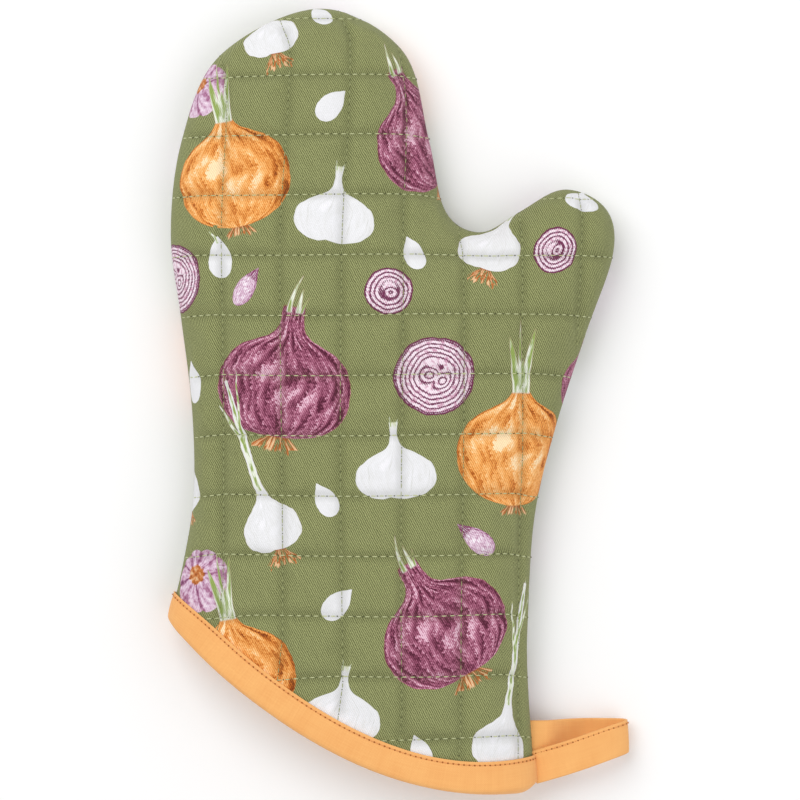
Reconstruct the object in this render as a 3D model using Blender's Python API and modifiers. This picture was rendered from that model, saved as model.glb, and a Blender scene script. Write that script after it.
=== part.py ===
"""Quilted oven mitt, 13 inches long: two padded panels sewn face to face round the
edge, left open at a bound cuff, with a hanging loop sewn into the corner of the cuff.

Frame: +Z up, the mitt lies flat on its palm side, +Y points from cuff to fingertips,
+X points to the thumb side. The origin is the middle of the underside.
"""
import math

import bpy
import numpy as np
from mathutils import Vector, geometry

MM = 0.001

# ---- driving dimensions, in millimetres ----
SEAM_HEIGHT = 14.0        # the sewn edge lies this far above the table
BACK_RISE = 24.0          # back panel above the seam
BACK_REACH = 60.0         # how far in from the seam the back panel stops rising
PALM_RISE = 14.0          # palm panel below the seam
PALM_REACH = 25.0
CUFF_PINCH = 2.0          # the binding squeezes each panel by this much
CUFF_PINCH_REACH = 14.0   # and beyond the tape the panel fills out again over this

SHELL = 0.6               # printed twill
WADDING = 3.5
LINING = 0.5
GAP = 0.3                 # between pieces that touch

QUILT_PITCH = 25.4        # one-inch squares
QUILT_ROW = 9.0           # height of the row nearest the middle
QUILT_COLUMN = -0.2       # place of the column nearest the middle
BACK_MARGIN = 6.0         # how far inside the seam the quilting stops
PALM_MARGIN = 24.5
THREAD = 0.2              # radius of a sewing thread

TAPE = 0.8                # binding tape, folded
TAPE_WIDTH = 12.0
TAPE_CORNER = 25.0        # over this distance the tape turns from seam to cuff

ALLOWANCE = (6.3, 11.0)   # the raw edges, turned in and pressed, by distance from the seam
ALLOWANCE_THICKNESS = 2.4
OVERLOCK = 0.8            # radius of the overlocked edge

LOOP_WIDTH = 13.5
LOOP_THICKNESS = 1.4

# The sewn edge, from the cuff's outer corner, round the fingers and thumb, to the
# cuff's thumb-side corner. A smooth curve runs through the points.
SEAM_POINTS = [
    (-97.5, -93.6), (-91.5, -67.6), (-87.4, -39.6), (-88.2, -3.6), (-92.8, 34.4),
    (-97.2, 70.4), (-92.4, 110.4), (-76.0, 146.4), (-34.0, 166.2), (1.7, 148.4),
    (13.0, 110.4), (20.0, 79.9), (34.7, 71.0), (50.5, 79.4), (70.0, 89.4),
    (88.0, 81.4), (91.5, 62.4), (80.0, 28.4), (67.0, -11.6), (58.0, -49.6),
    (55.2, -91.6), (55.0, -117.6), (58.0, -163.1),
]
# The cuff's edge is one cubic curve between the seam's two ends.
CUFF_HANDLES = [(-45.0, -145.6), (5.0, -171.6)]
# The loop's centreline from one sewn end to the other: x, y, z and its turn from +Y.
LOOP_PATH = [
    (60.4, -155.6, 14.8, 16.0), (64.4, -154.4, 15.2, 16.0), (71.0, -152.4, 15.6, 16.0),
    (80.2, -149.3, 15.6, 15.0), (90.2, -145.9, 13.6, 9.0), (96.0, -144.2, 10.4, 4.0),
    (97.4, -143.7, 7.0, 2.0), (95.6, -143.6, 3.7, 0.0), (90.2, -143.6, 1.6, 0.0),
    (80.2, -143.6, 1.5, 0.0), (72.2, -143.6, 4.8, 0.0), (66.2, -143.6, 10.2, 0.0),
    (62.8, -143.6, 12.4, 0.0), (58.8, -143.6, 13.1, 0.0),
]

SPAN_SAMPLES = 3           # seam points made in each span of the smooth curve
RINGS = (1.2, 5.0, 13.0)   # rows of mesh points that follow the seam
FIELD = 20.0               # spacing of mesh points away from the seam
CUFF_SAMPLES = (0, 0.012, 0.04, 0.09, 0.16, 0.24, 0.33, 0.42, 0.51, 0.6, 0.69, 0.77, 0.85, 0.92,
                0.965, 0.99, 1)
TAPE_ROWS = (0.0, 6.0, 12.0)
DISTANCE_TAIL = 15.0       # the seam is taken on past the cuff, so that the mouth stays open

GREEN = (0.235, 0.27, 0.10)
ORANGE = (0.93, 0.46, 0.15)
CREAM = (0.82, 0.78, 0.68)
WHITE = (0.85, 0.85, 0.83)


def clear_scene():
    for item in list(bpy.data.objects):
        bpy.data.objects.remove(item)


def collection(name):
    made = bpy.data.collections.new(name)
    bpy.context.scene.collection.children.link(made)
    return made


def cloth(name, colour, roughness=0.9):
    made = bpy.data.materials.new(name)
    made.use_nodes = True
    shader = made.node_tree.nodes["Principled BSDF"]
    shader.inputs["Base Color"].default_value = (*colour, 1.0)
    shader.inputs["Roughness"].default_value = roughness
    return made


# ---- curves in plan ----

def smooth_curve(points, samples):
    """Catmull-Rom points through the given ones, samples in each span."""
    known = np.array(points, float)
    known = np.vstack([2 * known[0] - known[1], known, 2 * known[-1] - known[-2]])
    t = (np.arange(samples) / samples)[:, None]
    spans = []
    for a, b, c, d in zip(known, known[1:], known[2:], known[3:]):
        spans.append(0.5 * (2 * b + (c - a) * t + (2 * a - 5 * b + 4 * c - d) * t**2
                            + (3 * b - a - 3 * c + d) * t**3))
    return np.vstack([*spans, known[-2]])


def cuff_curve(t):
    """Points of the cuff's edge, and the unit directions from it into the mitt."""
    a, d = np.array(SEAM_POINTS[0]), np.array(SEAM_POINTS[-1])
    b, c = (np.array(h) for h in CUFF_HANDLES)
    t = np.array(t, float)[:, None]
    place = (1 - t)**3 * a + 3 * (1 - t)**2 * t * b + 3 * (1 - t) * t**2 * c + t**3 * d
    along = (1 - t)**2 * (b - a) + 2 * (1 - t) * t * (c - b) + t**2 * (d - c)
    inward = np.stack([-along[:, 1], along[:, 0]], axis=1)
    return place, inward / np.linalg.norm(inward, axis=1)[:, None]


def sewn_edge():
    """The seam: straight under the tape at both ends, a smooth curve between."""
    curve = smooth_curve(SEAM_POINTS, SPAN_SAMPLES)
    first, last = curve[0], curve[-1]
    clear = [p for p in curve if min(np.linalg.norm(p - first), np.linalg.norm(p - last)) > 16]
    way_in = (clear[0] - first) / np.linalg.norm(clear[0] - first)
    way_out = (clear[-1] - last) / np.linalg.norm(clear[-1] - last)
    start = [first + way_in * width for width in TAPE_ROWS]
    end = [last + way_out * width for width in TAPE_ROWS[::-1]]
    return np.array([*start, *clear, *end])


SEAM = sewn_edge()


def seam_with_tails():
    start = SEAM[0] - SEAM[1]
    end = SEAM[-1] - SEAM[-2]
    start *= DISTANCE_TAIL / np.linalg.norm(start)
    end *= DISTANCE_TAIL / np.linalg.norm(end)
    return np.vstack([SEAM[0] + start, SEAM, SEAM[-1] + end])


def soft_distance(points):
    """Distance from the seam, rounded off where two stretches of seam are as near.

    Each stretch counts by the integral of 1 / r^3 along it, so one straight seam
    gives the plain distance, and the middle of a strip has no ridge."""
    line = seam_with_tails()
    a, b = line[:-1], line[1:]
    way = (b - a) / np.linalg.norm(b - a, axis=1)[:, None]
    to_a = points[:, None] - a
    far = np.abs(to_a[..., 0] * way[:, 1] - to_a[..., 1] * way[:, 0])
    far = np.maximum(far, 1e-4)
    s0 = -(to_a * way).sum(axis=2)
    s1 = s0 + np.linalg.norm(b - a, axis=1)
    pull = (s1 / np.hypot(far, s1) - s0 / np.hypot(far, s0)) / far**2
    return np.sqrt(2 / pull.sum(axis=1))


def cuff_distance(points):
    edge = cuff_curve(np.linspace(0, 1, 60))[0]
    return np.linalg.norm(points[:, None] - edge, axis=2).min(axis=1)


def skin(points, depth, side):
    """Plan points carried to depth below the outside of a panel: side +1 back, -1 palm.

    The panel rises from the seam like an ellipse, and depth is measured square to it."""
    points = np.array(points, float)
    depth = np.broadcast_to(np.array(depth, float), len(points))
    rise, reach = (BACK_RISE, BACK_REACH) if side > 0 else (PALM_RISE, PALM_REACH)
    near = np.clip(1 - (cuff_distance(points) - TAPE_WIDTH) / CUFF_PINCH_REACH, 0, 1)
    rise = rise - CUFF_PINCH * near * near * (3 - 2 * near)
    step = 0.05
    distance = soft_distance(points)
    slope_x = soft_distance(points + (step, 0)) - soft_distance(points - (step, 0))
    slope_y = soft_distance(points + (0, step)) - soft_distance(points - (0, step))
    on_seam = distance < 0.02
    inward = np.stack([slope_x, slope_y], axis=1) / (2 * step)
    inward[on_seam] = seam_inward(points[on_seam])
    length = np.maximum(np.linalg.norm(inward, axis=1), 1e-9)
    left = 1 - np.clip(distance / reach, 0, 1)
    bow = np.sqrt(np.maximum(1 - left**2, 1e-12))
    tilt = np.where(on_seam, math.pi / 2, np.arctan(rise * left / (reach * bow) * length))
    height = np.where(on_seam, 0, rise * bow) - depth * np.cos(tilt)
    moved = points + inward / length[:, None] * (depth * np.sin(tilt))[:, None]
    return np.column_stack([moved, SEAM_HEIGHT + side * height])


def seam_inward(points):
    """Unit directions into the mitt at points on the seam."""
    line = seam_with_tails()
    tangent = np.gradient(line, axis=0)
    normal = np.stack([tangent[:, 1], -tangent[:, 0]], axis=1)
    normal /= np.linalg.norm(normal, axis=1)[:, None]
    nearest = np.linalg.norm(points[:, None] - line, axis=2).argmin(axis=1)
    return normal[nearest]


def tape_direction(t):
    """Directions across the tape: along the seam at the corners, square to the cuff between."""
    place, square = cuff_curve(t)
    start = SEAM[1] - SEAM[0]
    end = SEAM[-2] - SEAM[-1]
    made = []
    for p, s in zip(place, square):
        for corner, way in ((SEAM[0], start), (SEAM[-1], end)):
            share = max(0.0, 1 - np.linalg.norm(p - corner) / TAPE_CORNER)
            s = s + (way / np.linalg.norm(way) - s) * share * share * (3 - 2 * share)
        made.append(s / np.linalg.norm(s))
    return place, np.array(made)


# ---- the cut panel ----

def inside(points, ring):
    """Which points lie in a closed ring, by crossings."""
    x, y = points[:, :1], points[:, 1:]
    a, b = ring, np.roll(ring, -1, axis=0)
    spans = (a[:, 1] > y) != (b[:, 1] > y)
    rise = np.where(b[:, 1] == a[:, 1], 1, b[:, 1] - a[:, 1])
    cross = a[:, 0] + (y - a[:, 1]) * (b[:, 0] - a[:, 0]) / rise
    return (spans & (x < cross)).sum(axis=1) % 2 == 1


def panel_plan():
    """The cut panel as flat triangles: its edge, rows along the seam and a field."""
    cuff = cuff_curve(CUFF_SAMPLES)[0]
    edge = np.vstack([SEAM[:-1], cuff[::-1][:-1]])
    normals = seam_inward(SEAM)
    rows = [SEAM + normals * ring for ring in RINGS]
    xs = np.arange(edge[:, 0].min(), edge[:, 0].max(), FIELD)
    ys = np.arange(edge[:, 1].min(), edge[:, 1].max(), FIELD * 0.87)
    field = np.array([(x + (j % 2) * FIELD / 2, y) for j, y in enumerate(ys) for x in xs])
    field = field[inside(field, edge)]
    field = field[soft_distance(field) > RINGS[-1] + 1]
    inner = np.vstack([*rows, field])
    inner = inner[inside(inner, edge)]
    inner = inner[cuff_distance(inner) > TAPE_WIDTH + 5]
    place, way = tape_direction(CUFF_SAMPLES[1:-1])
    tape_rows = [place + way * width for width in TAPE_ROWS[1:]]
    points = [Vector(p) for p in np.vstack([edge, *tape_rows, inner])]
    kept = [(i, (i + 1) % len(edge)) for i in range(len(edge))]
    for row in range(len(tape_rows)):
        start = len(edge) + row * len(place)
        kept += [(i, i + 1) for i in range(start, start + len(place) - 1)]
    made = geometry.delaunay_2d_cdt(points, kept, [], 1, 1e-5)
    return np.array([tuple(p) for p in made[0]]), [tuple(f) for f in made[2]]


PLAN_POINTS, PLAN_FACES = panel_plan()


def link(name, mesh, material, home):
    made = bpy.data.objects.new(name, mesh)
    mesh.materials.append(material)
    home.objects.link(made)
    return made


def panel_layer(name, side, top, bottom, material, home):
    """One layer of a panel, from depth top to depth bottom, closed round its edge."""
    outer = skin(PLAN_POINTS, top, side)
    inner = skin(PLAN_POINTS, bottom, side)
    for points in (outer, inner):
        flush = np.abs(points[:, 2] - SEAM_HEIGHT) < 1e-6
        points[flush, 2] = SEAM_HEIGHT + side * GAP / 2
    count = len(outer)
    sides = {(a, b) for face in PLAN_FACES for a, b in zip(face, face[1:] + face[:1])}
    faces = [face[::side] for face in PLAN_FACES]
    faces += [tuple(i + count for i in face[::-side]) for face in PLAN_FACES]
    faces += [(a, a + count, b + count, b)[::side] for a, b in sorted(sides) if (b, a) not in sides]
    mesh = bpy.data.meshes.new(name)
    mesh.from_pydata([tuple(p) for p in np.vstack([outer, inner]) * MM], [], faces)
    mesh.shade_smooth()
    mesh.set_sharp_from_angle(angle=math.radians(50))
    return link(name, mesh, material, home)


# ---- strips and threads ----

def strip(name, rows, thickness, material, home, closed=False):
    """A tape whose rows of points run across it, given its thickness by Solidify."""
    mesh = bpy.data.meshes.new(name)
    rows = np.array(rows) * MM
    count, across = rows.shape[:2]
    last = count if closed else count - 1
    faces = [(i * across + j, (i + 1) % count * across + j,
              (i + 1) % count * across + j + 1, i * across + j + 1)
             for i in range(last) for j in range(across - 1)]
    mesh.from_pydata([tuple(p) for p in rows.reshape(-1, 3)], [], faces)
    mesh.update()
    made = link(name, mesh, material, home)
    wall = made.modifiers.new("thickness", "SOLIDIFY")
    wall.thickness = thickness * MM
    wall.offset = 0
    wall.use_even_offset = True
    return made


def thread(name, path, radius, material, home, closed=False):
    line = bpy.data.curves.new(name, "CURVE")
    line.dimensions = "3D"
    line.bevel_depth = radius * MM
    line.bevel_resolution = 0
    line.use_fill_caps = not closed
    run = line.splines.new("POLY")
    run.points.add(len(path) - 1)
    for point, place in zip(run.points, np.array(path) * MM):
        point.co = (*place, 1)
    run.use_cyclic_u = closed
    return link(name, line, material, home)


def mouth_ring(width, depth):
    """A closed ring round the mouth, width in from the cuff's edge, at a depth."""
    t = np.array(CUFF_SAMPLES)
    place, way = tape_direction(t)
    back = skin(place + way * width, depth, 1)
    palm = skin(place + way * width, depth, -1)
    back[[0, -1], 2] = SEAM_HEIGHT
    return np.vstack([back, palm[-2:0:-1]])


def cuff_binding(material, home):
    """Tape folded over the raw edges of all three layers, right round the mouth."""
    wall = SHELL + WADDING + LINING + 2 * GAP
    lift = GAP + TAPE / 2 + 0.02
    across = [(12.0, -lift), (6.0, -lift), (0.0, -lift), (-lift, 0.0),
              (-lift, wall), (0.0, wall + lift), (6.0, wall + lift), (12.0, wall + lift)]
    rings = [mouth_ring(width, depth) for width, depth in across]
    return strip("cuff_binding", np.stack(rings, axis=1), TAPE, material, home, closed=True)


def inner_seam(distance):
    """Plan points inside the seam by a distance, that stop clear of the tape."""
    inward = seam_inward(SEAM)
    clear = cuff_distance(SEAM + inward * ALLOWANCE[1]) > TAPE_WIDTH + 3
    return (SEAM + inward * distance)[clear]


def level(path, rise):
    return np.column_stack([path, np.full(len(path), SEAM_HEIGHT + rise)])


def seam_inside(cloth_material, thread_material, home):
    """The raw edges turned into the mitt, the line that sews them and their overlocking."""
    near, far = ALLOWANCE
    rows = np.stack([level(inner_seam(far), 0), level(inner_seam(near), 0)], axis=1)
    strip("seam_allowance", rows, ALLOWANCE_THICKNESS, cloth_material, home)
    above = ALLOWANCE_THICKNESS / 2 + GAP + THREAD
    thread("seam_stitching", level(inner_seam(near + 1), above), THREAD, thread_material, home)
    thread("seam_overlock", level(inner_seam(far + GAP + OVERLOCK), 0), OVERLOCK,
           thread_material, home)


def quilting(name, side, across, depth, margin, material, home):
    """One thread run to and fro over a panel: across 0 sews the rows, 1 the columns."""
    ring = np.vstack([SEAM, cuff_curve(np.linspace(1, 0, 40))[0]])
    first = (QUILT_COLUMN, QUILT_ROW)[1 - across]
    path = []
    for place in np.arange(-7, 8) * QUILT_PITCH + first:
        run = np.empty((69, 2))
        run[:, across] = np.linspace(-170, 170, 69)
        run[:, 1 - across] = place
        good = inside(run, ring)
        good &= np.minimum(soft_distance(run), cuff_distance(run) - TAPE_WIDTH + 2) > margin
        if good.sum() > 3:
            path.append(run[good] if len(path) % 2 else run[good][::-1])
    joined = [path[0]]
    for run in path[1:]:
        start, end = joined[-1][-1], run[0]
        steps = int(np.linalg.norm(end - start) // 6) + 1
        joined.append(start + (end - start) * (np.arange(1, steps) / steps)[:, None])
        joined.append(run)
    thread(name, skin(np.vstack(joined), depth, side), THREAD, material, home)


def loop_row(shift, lift):
    """A line along the loop's tape: shifted across it, and lifted off its outer face."""
    path = np.array([p[:3] for p in LOOP_PATH])
    turn = np.radians([p[3] for p in LOOP_PATH])
    across = np.column_stack([-np.sin(turn), np.cos(turn), np.zeros(len(turn))])
    outward = np.cross(np.gradient(path, axis=0), across)
    outward /= np.linalg.norm(outward, axis=1)[:, None]
    return path + across * shift + outward * lift


def hanging_loop(tape, sewing, home):
    half = LOOP_WIDTH / 2
    rows = np.stack([loop_row(shift, 0) for shift in (-half, 0, half)], axis=1)
    strip("hanging_loop", rows, LOOP_THICKNESS, tape, home)
    lift = LOOP_THICKNESS / 2 + GAP + THREAD
    thread("loop_topstitch", loop_row(half - 1.2, lift)[1:-1], THREAD, sewing, home)


def main():
    clear_scene()
    home = collection("oven_mitt")
    print_cloth = cloth("printed_twill", GREEN)
    wadding = cloth("wadding", WHITE)
    lining = cloth("lining", CREAM)
    tape = cloth("binding_tape", ORANGE)
    sewing = cloth("thread", WHITE, 0.7)

    at_wadding = SHELL + GAP
    at_lining = at_wadding + WADDING + GAP
    for prefix, side in (("back", 1), ("palm", -1)):
        panel_layer(f"{prefix}_shell", side, 0, SHELL, print_cloth, home)
        panel_layer(f"{prefix}_wadding", side, at_wadding, at_wadding + WADDING, wadding, home)
        panel_layer(f"{prefix}_lining", side, at_lining, at_lining + LINING, lining, home)

    on_top = -(GAP + THREAD)
    quilting("back_quilting_rows", 1, 0, on_top, BACK_MARGIN, sewing, home)
    quilting("back_quilting_columns", 1, 1, 2 * on_top - THREAD, BACK_MARGIN, sewing, home)
    in_hand = at_lining + LINING + GAP - on_top
    quilting("palm_quilting_rows", -1, 0, in_hand, PALM_MARGIN, sewing, home)
    quilting("palm_quilting_columns", -1, 1, in_hand + GAP + 2 * THREAD, PALM_MARGIN, sewing, home)

    seam_inside(print_cloth, sewing, home)
    cuff_binding(tape, home)
    on_tape = -(2 * GAP + TAPE + THREAD)
    thread("cuff_topstitch", mouth_ring(TAPE_WIDTH - 1.2, on_tape), THREAD, tape, home, closed=True)
    hanging_loop(tape, sewing, home)


main()
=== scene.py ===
import math
from functools import partialmethod

import bmesh
import bpy
import numpy as np
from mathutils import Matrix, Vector, geometry, noise
from mathutils.bvhtree import BVHTree


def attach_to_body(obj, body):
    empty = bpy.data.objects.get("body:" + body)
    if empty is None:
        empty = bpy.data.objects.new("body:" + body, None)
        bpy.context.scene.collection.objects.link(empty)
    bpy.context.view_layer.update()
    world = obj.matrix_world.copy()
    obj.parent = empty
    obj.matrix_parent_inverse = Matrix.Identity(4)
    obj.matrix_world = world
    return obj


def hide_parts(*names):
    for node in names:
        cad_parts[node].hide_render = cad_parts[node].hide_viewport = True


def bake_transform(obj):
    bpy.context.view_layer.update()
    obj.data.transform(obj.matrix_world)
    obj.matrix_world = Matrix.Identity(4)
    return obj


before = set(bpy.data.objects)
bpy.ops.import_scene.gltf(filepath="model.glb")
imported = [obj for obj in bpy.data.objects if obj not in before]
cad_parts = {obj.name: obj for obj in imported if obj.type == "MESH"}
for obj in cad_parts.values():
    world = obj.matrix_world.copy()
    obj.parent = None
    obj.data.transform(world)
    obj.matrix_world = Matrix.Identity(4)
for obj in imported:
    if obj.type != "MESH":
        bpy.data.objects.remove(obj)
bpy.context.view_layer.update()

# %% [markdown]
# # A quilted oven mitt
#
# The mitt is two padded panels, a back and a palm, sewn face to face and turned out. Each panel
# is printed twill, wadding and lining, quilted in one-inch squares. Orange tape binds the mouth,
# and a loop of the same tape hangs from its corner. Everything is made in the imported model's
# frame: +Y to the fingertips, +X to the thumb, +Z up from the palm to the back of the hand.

MM = 0.001
scene = bpy.context.scene

# %% [markdown]
# ## The cut of the cloth
#
# A mitt is a shape cut from flat cloth, so its outline comes first. Smooth curves through a few
# points are enough: one for the sewn edge, from the cuff round the fingers and the thumb, and
# one cubic for the slanting cuff. All sizes are in millimetres.

# %% Outline
SEAM_POINTS = [
    (-97.5, -93.6), (-91.5, -67.6), (-87.4, -39.6), (-88.2, -3.6), (-92.8, 34.4),
    (-97.2, 70.4), (-92.4, 110.4), (-76.0, 146.4), (-34.0, 166.2), (1.7, 148.4),
    (13.0, 110.4), (20.0, 79.9), (34.7, 71.0), (50.5, 79.4), (70.0, 89.4),
    (88.0, 81.4), (91.5, 62.4), (80.0, 28.4), (67.0, -11.6), (58.0, -49.6),
    (55.2, -91.6), (55.0, -117.6), (58.0, -163.1),
]
# The cuff's edge is one cubic curve between the seam's two ends.
CUFF_HANDLES = [(-45.0, -145.6), (5.0, -171.6)]
SEAM_HEIGHT = 14.0
TAPE_WIDTH = 12.0
QUILT_PITCH = 25.4
QUILT_ROW = 9.0
QUILT_COLUMN = -0.2


def smooth_curve(points, samples):
    """Catmull-Rom points through the given ones, samples in each span."""
    known = np.array(points, float)
    known = np.vstack([2 * known[0] - known[1], known, 2 * known[-1] - known[-2]])
    t = (np.arange(samples) / samples)[:, None]
    spans = []
    for a, b, c, d in zip(known, known[1:], known[2:], known[3:]):
        spans.append(0.5 * (2 * b + (c - a) * t + (2 * a - 5 * b + 4 * c - d) * t**2
                            + (3 * b - a - 3 * c + d) * t**3))
    return np.vstack([*spans, known[-2]])


def even_steps(line, step):
    """The same line with its points about a step apart."""
    along = np.concatenate([[0], np.cumsum(np.linalg.norm(np.diff(line, axis=0), axis=1))])
    places = np.linspace(0, along[-1], max(2, round(along[-1] / step) + 1))
    return np.column_stack([np.interp(places, along, column) for column in line.T])


def cuff_curve(t):
    """Points of the cuff's edge, and the unit directions from it into the mitt."""
    a, d = np.array(SEAM_POINTS[0]), np.array(SEAM_POINTS[-1])
    b, c = (np.array(h) for h in CUFF_HANDLES)
    t = np.array(t, float)[:, None]
    place = (1 - t)**3 * a + 3 * (1 - t)**2 * t * b + 3 * (1 - t) * t**2 * c + t**3 * d
    along = (1 - t)**2 * (b - a) + 2 * (1 - t) * t * (c - b) + t**2 * (d - c)
    inward = np.stack([-along[:, 1], along[:, 0]], axis=1)
    return place, inward / np.linalg.norm(inward, axis=1)[:, None]


SEAM = even_steps(smooth_curve(SEAM_POINTS, 12), 3.0)
CUFF = even_steps(cuff_curve(np.linspace(0, 1, 200))[0], 3.0)
print("sewn edge:", len(SEAM), "points; cuff edge:", len(CUFF), "points")

# %% [markdown]
# ## From flat cut to padded shape
#
# Two layers sewn round the edge and filled stand up like an ellipse from the seam, steep at the
# edge and level in the middle. The height at a point depends on how far it is from the seam. A
# plain distance would leave ridges down the middle of the thumb, so each stretch of seam counts
# by the integral of 1 / r cubed along it: near one straight seam that gives the plain distance,
# and between two seams it has a smooth top.

# %% Distance and skin
BACK = {"side": 1, "rise": 24.0, "reach": 60.0}
PALM = {"side": -1, "rise": 14.0, "reach": 25.0}
CUFF_PINCH = 2.0
CUFF_PINCH_REACH = 14.0
TAIL = 15.0


def seam_with_tails():
    """The seam taken straight on past the cuff, so that the mouth stays open."""
    start, end = SEAM[0] - SEAM[1], SEAM[-1] - SEAM[-2]
    return np.vstack([SEAM[0] + start / np.linalg.norm(start) * TAIL, SEAM,
                      SEAM[-1] + end / np.linalg.norm(end) * TAIL])


def soft_distance(points):
    line = seam_with_tails()[::2]
    a, b = line[:-1], line[1:]
    length = np.linalg.norm(b - a, axis=1)
    way = (b - a) / length[:, None]
    to_a = points[:, None] - a
    far = np.maximum(np.abs(to_a[..., 0] * way[:, 1] - to_a[..., 1] * way[:, 0]), 1e-4)
    s0 = -(to_a * way).sum(axis=2)
    s1 = s0 + length
    pull = (s1 / np.hypot(far, s1) - s0 / np.hypot(far, s0)) / far**2
    return np.sqrt(2 / np.maximum(pull.sum(axis=1), 1e-9))


def distance_to(line, points):
    """Plain distance from each point to a line of short stretches."""
    a, b = line[:-1], line[1:]
    way = b - a
    share = ((points[:, None] - a) * way).sum(axis=2) / (way**2).sum(axis=1)
    foot = a + np.clip(share, 0, 1)[..., None] * way
    return np.linalg.norm(points[:, None] - foot, axis=2).min(axis=1)


def seam_inward(points):
    """Unit directions into the mitt from the nearest place on the seam."""
    line = seam_with_tails()
    tangent = np.gradient(line, axis=0)
    normal = np.stack([tangent[:, 1], -tangent[:, 0]], axis=1)
    normal /= np.linalg.norm(normal, axis=1)[:, None]
    return normal[np.linalg.norm(points[:, None] - line, axis=2).argmin(axis=1)]


def inward_and_distance(points):
    step = 0.05
    distance = soft_distance(points)
    slope = np.stack([soft_distance(points + (step, 0)) - soft_distance(points - (step, 0)),
                      soft_distance(points + (0, step)) - soft_distance(points - (0, step))], axis=1)
    slope /= 2 * step
    near = distance_to(SEAM, points) < 0.3
    slope[near] = seam_inward(points[near])
    distance[near] = np.minimum(distance[near], distance_to(SEAM, points[near]))
    return slope, distance


def skin(points, depth, panel):
    """Plan points carried to depth below the outside of a panel, square to its surface."""
    points = np.array(points, float)
    depth = np.broadcast_to(np.array(depth, float), len(points))
    near = np.clip(1 - (distance_to(CUFF, points) - TAPE_WIDTH) / CUFF_PINCH_REACH, 0, 1)
    rise = panel["rise"] - CUFF_PINCH * near * near * (3 - 2 * near)
    inward, distance = inward_and_distance(points)
    length = np.maximum(np.linalg.norm(inward, axis=1), 1e-9)
    left = 1 - np.clip(distance / panel["reach"], 0, 1)
    bow = np.sqrt(np.maximum(1 - left**2, 1e-12))
    tilt = np.arctan(rise * left / (panel["reach"] * np.maximum(bow, 1e-5)) * length)
    moved = points + inward / length[:, None] * (depth * np.sin(tilt))[:, None]
    height = rise * bow - depth * np.cos(tilt)
    return np.column_stack([moved, SEAM_HEIGHT + panel["side"] * height])


middle = np.array([(-30.0, 0.0), (60.0, 50.0)])
print("back panel's height at the palm and thumb:", skin(middle, 0, BACK)[:, 2].round(1))

# %% [markdown]
# ## A mesh that follows the quilting
#
# The panel is a grid whose lines fall exactly on the rows and columns of quilting, so that each
# row can sink between its squares. Extra rows of points follow the edge, where the cloth turns
# fast. A constrained Delaunay triangulation joins it all, and pairs of triangles become quads
# again, which subdivide more smoothly.

# %% Plan mesh
CELL = QUILT_PITCH / 8
EDGE_ROWS = (0.35, 1.2, 2.8)
GRID_CLEAR = CELL * 0.45
CUFF_CLEAR = 1.4


def inside(points, ring):
    """Which points lie in a closed ring, by crossings."""
    x, y = points[:, :1], points[:, 1:]
    a, b = ring, np.roll(ring, -1, axis=0)
    crossing = (a[:, 1] > y) != (b[:, 1] > y)
    rise = np.where(b[:, 1] == a[:, 1], 1, b[:, 1] - a[:, 1])
    return (crossing & (x < a[:, 0] + (y - a[:, 1]) * (b[:, 0] - a[:, 0]) / rise)).sum(axis=1) % 2 == 1


def panel_plan():
    """The cut panel as a flat mesh: points and faces."""
    edge = np.vstack([SEAM[:-1], CUFF[::-1][:-1]])
    rows = []
    for row in EDGE_ROWS:
        line = SEAM + seam_inward(SEAM) * row
        rows.append(line[np.abs(distance_to(SEAM, line) - row) < 0.1])
    xs = QUILT_COLUMN + np.arange(-40, 41) * CELL
    ys = QUILT_ROW + np.arange(-64, 65) * CELL
    grid = np.stack(np.meshgrid(xs, ys), axis=2).reshape(-1, 2)
    grid = grid[inside(grid, edge)]
    grid = grid[distance_to(SEAM, grid) > EDGE_ROWS[-1] + GRID_CLEAR]
    inner = np.vstack([*rows, grid])
    inner = inner[inside(inner, edge)]
    inner = inner[distance_to(CUFF, inner) > CUFF_CLEAR]
    border = [(i, (i + 1) % len(edge)) for i in range(len(edge))]
    corners = [Vector(p) for p in np.vstack([edge, inner])]
    points, _, faces = geometry.delaunay_2d_cdt(corners, border, [], 1, 1e-5)[:3]
    shape = bmesh.new()
    made = [shape.verts.new((*p, 0)) for p in points]
    for face in faces:
        shape.faces.new([made[i] for i in face])
    shape.normal_update()
    bmesh.ops.join_triangles(shape, faces=shape.faces[:], angle_face_threshold=0.2,
                             angle_shape_threshold=0.6)
    shape.verts.index_update()
    faces = [tuple(v.index for v in face.verts) for face in shape.faces]
    if sum(face.normal.z for face in shape.faces) < 0:
        faces = [face[::-1] for face in faces]
    shape.free()
    return np.array([tuple(p) for p in points]), faces


def drift(points):
    """How far the cloth crept under the needle: the quilting leans and sways a little, but not at
    the seam or under the tape, where the layers are already held."""
    x, y = points.T
    top = np.clip((y - 60) / 80, 0, 1)
    across = 1.7 + 0.6 * np.sin(x / 19 + y / 45) + 3.0 * top * top * (3 - 2 * top)
    along = 0.4 + 0.0062 * (145 - y) + 0.45 * np.sin(x / 23 + y / 70)
    held = np.clip(np.minimum(distance_to(SEAM, points), distance_to(CUFF, points) - TAPE_WIDTH) / 12,
                   0, 1)
    return np.stack([across, along], axis=1) * held[:, None]


STRAIGHT, PLAN_FACES = panel_plan()
PLAN = STRAIGHT + drift(STRAIGHT)
print("plan:", len(PLAN), "points,", len(PLAN_FACES), "faces,",
      sum(len(f) == 4 for f in PLAN_FACES), "of them quads")

# %% [markdown]
# ## Quilting pinches the panel
#
# Each line of stitches pulls the layers together, so the panel is a field of small pillows. The
# pinch is 1 on a stitched line and fades within a few millimetres. The same rule moves the outer
# cloth in, the lining out and the wadding from both sides, so the layers never cross.

# %% Pinch
PINCH_WIDTH = 2.3
EDGE_FADE = 5.0


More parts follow.
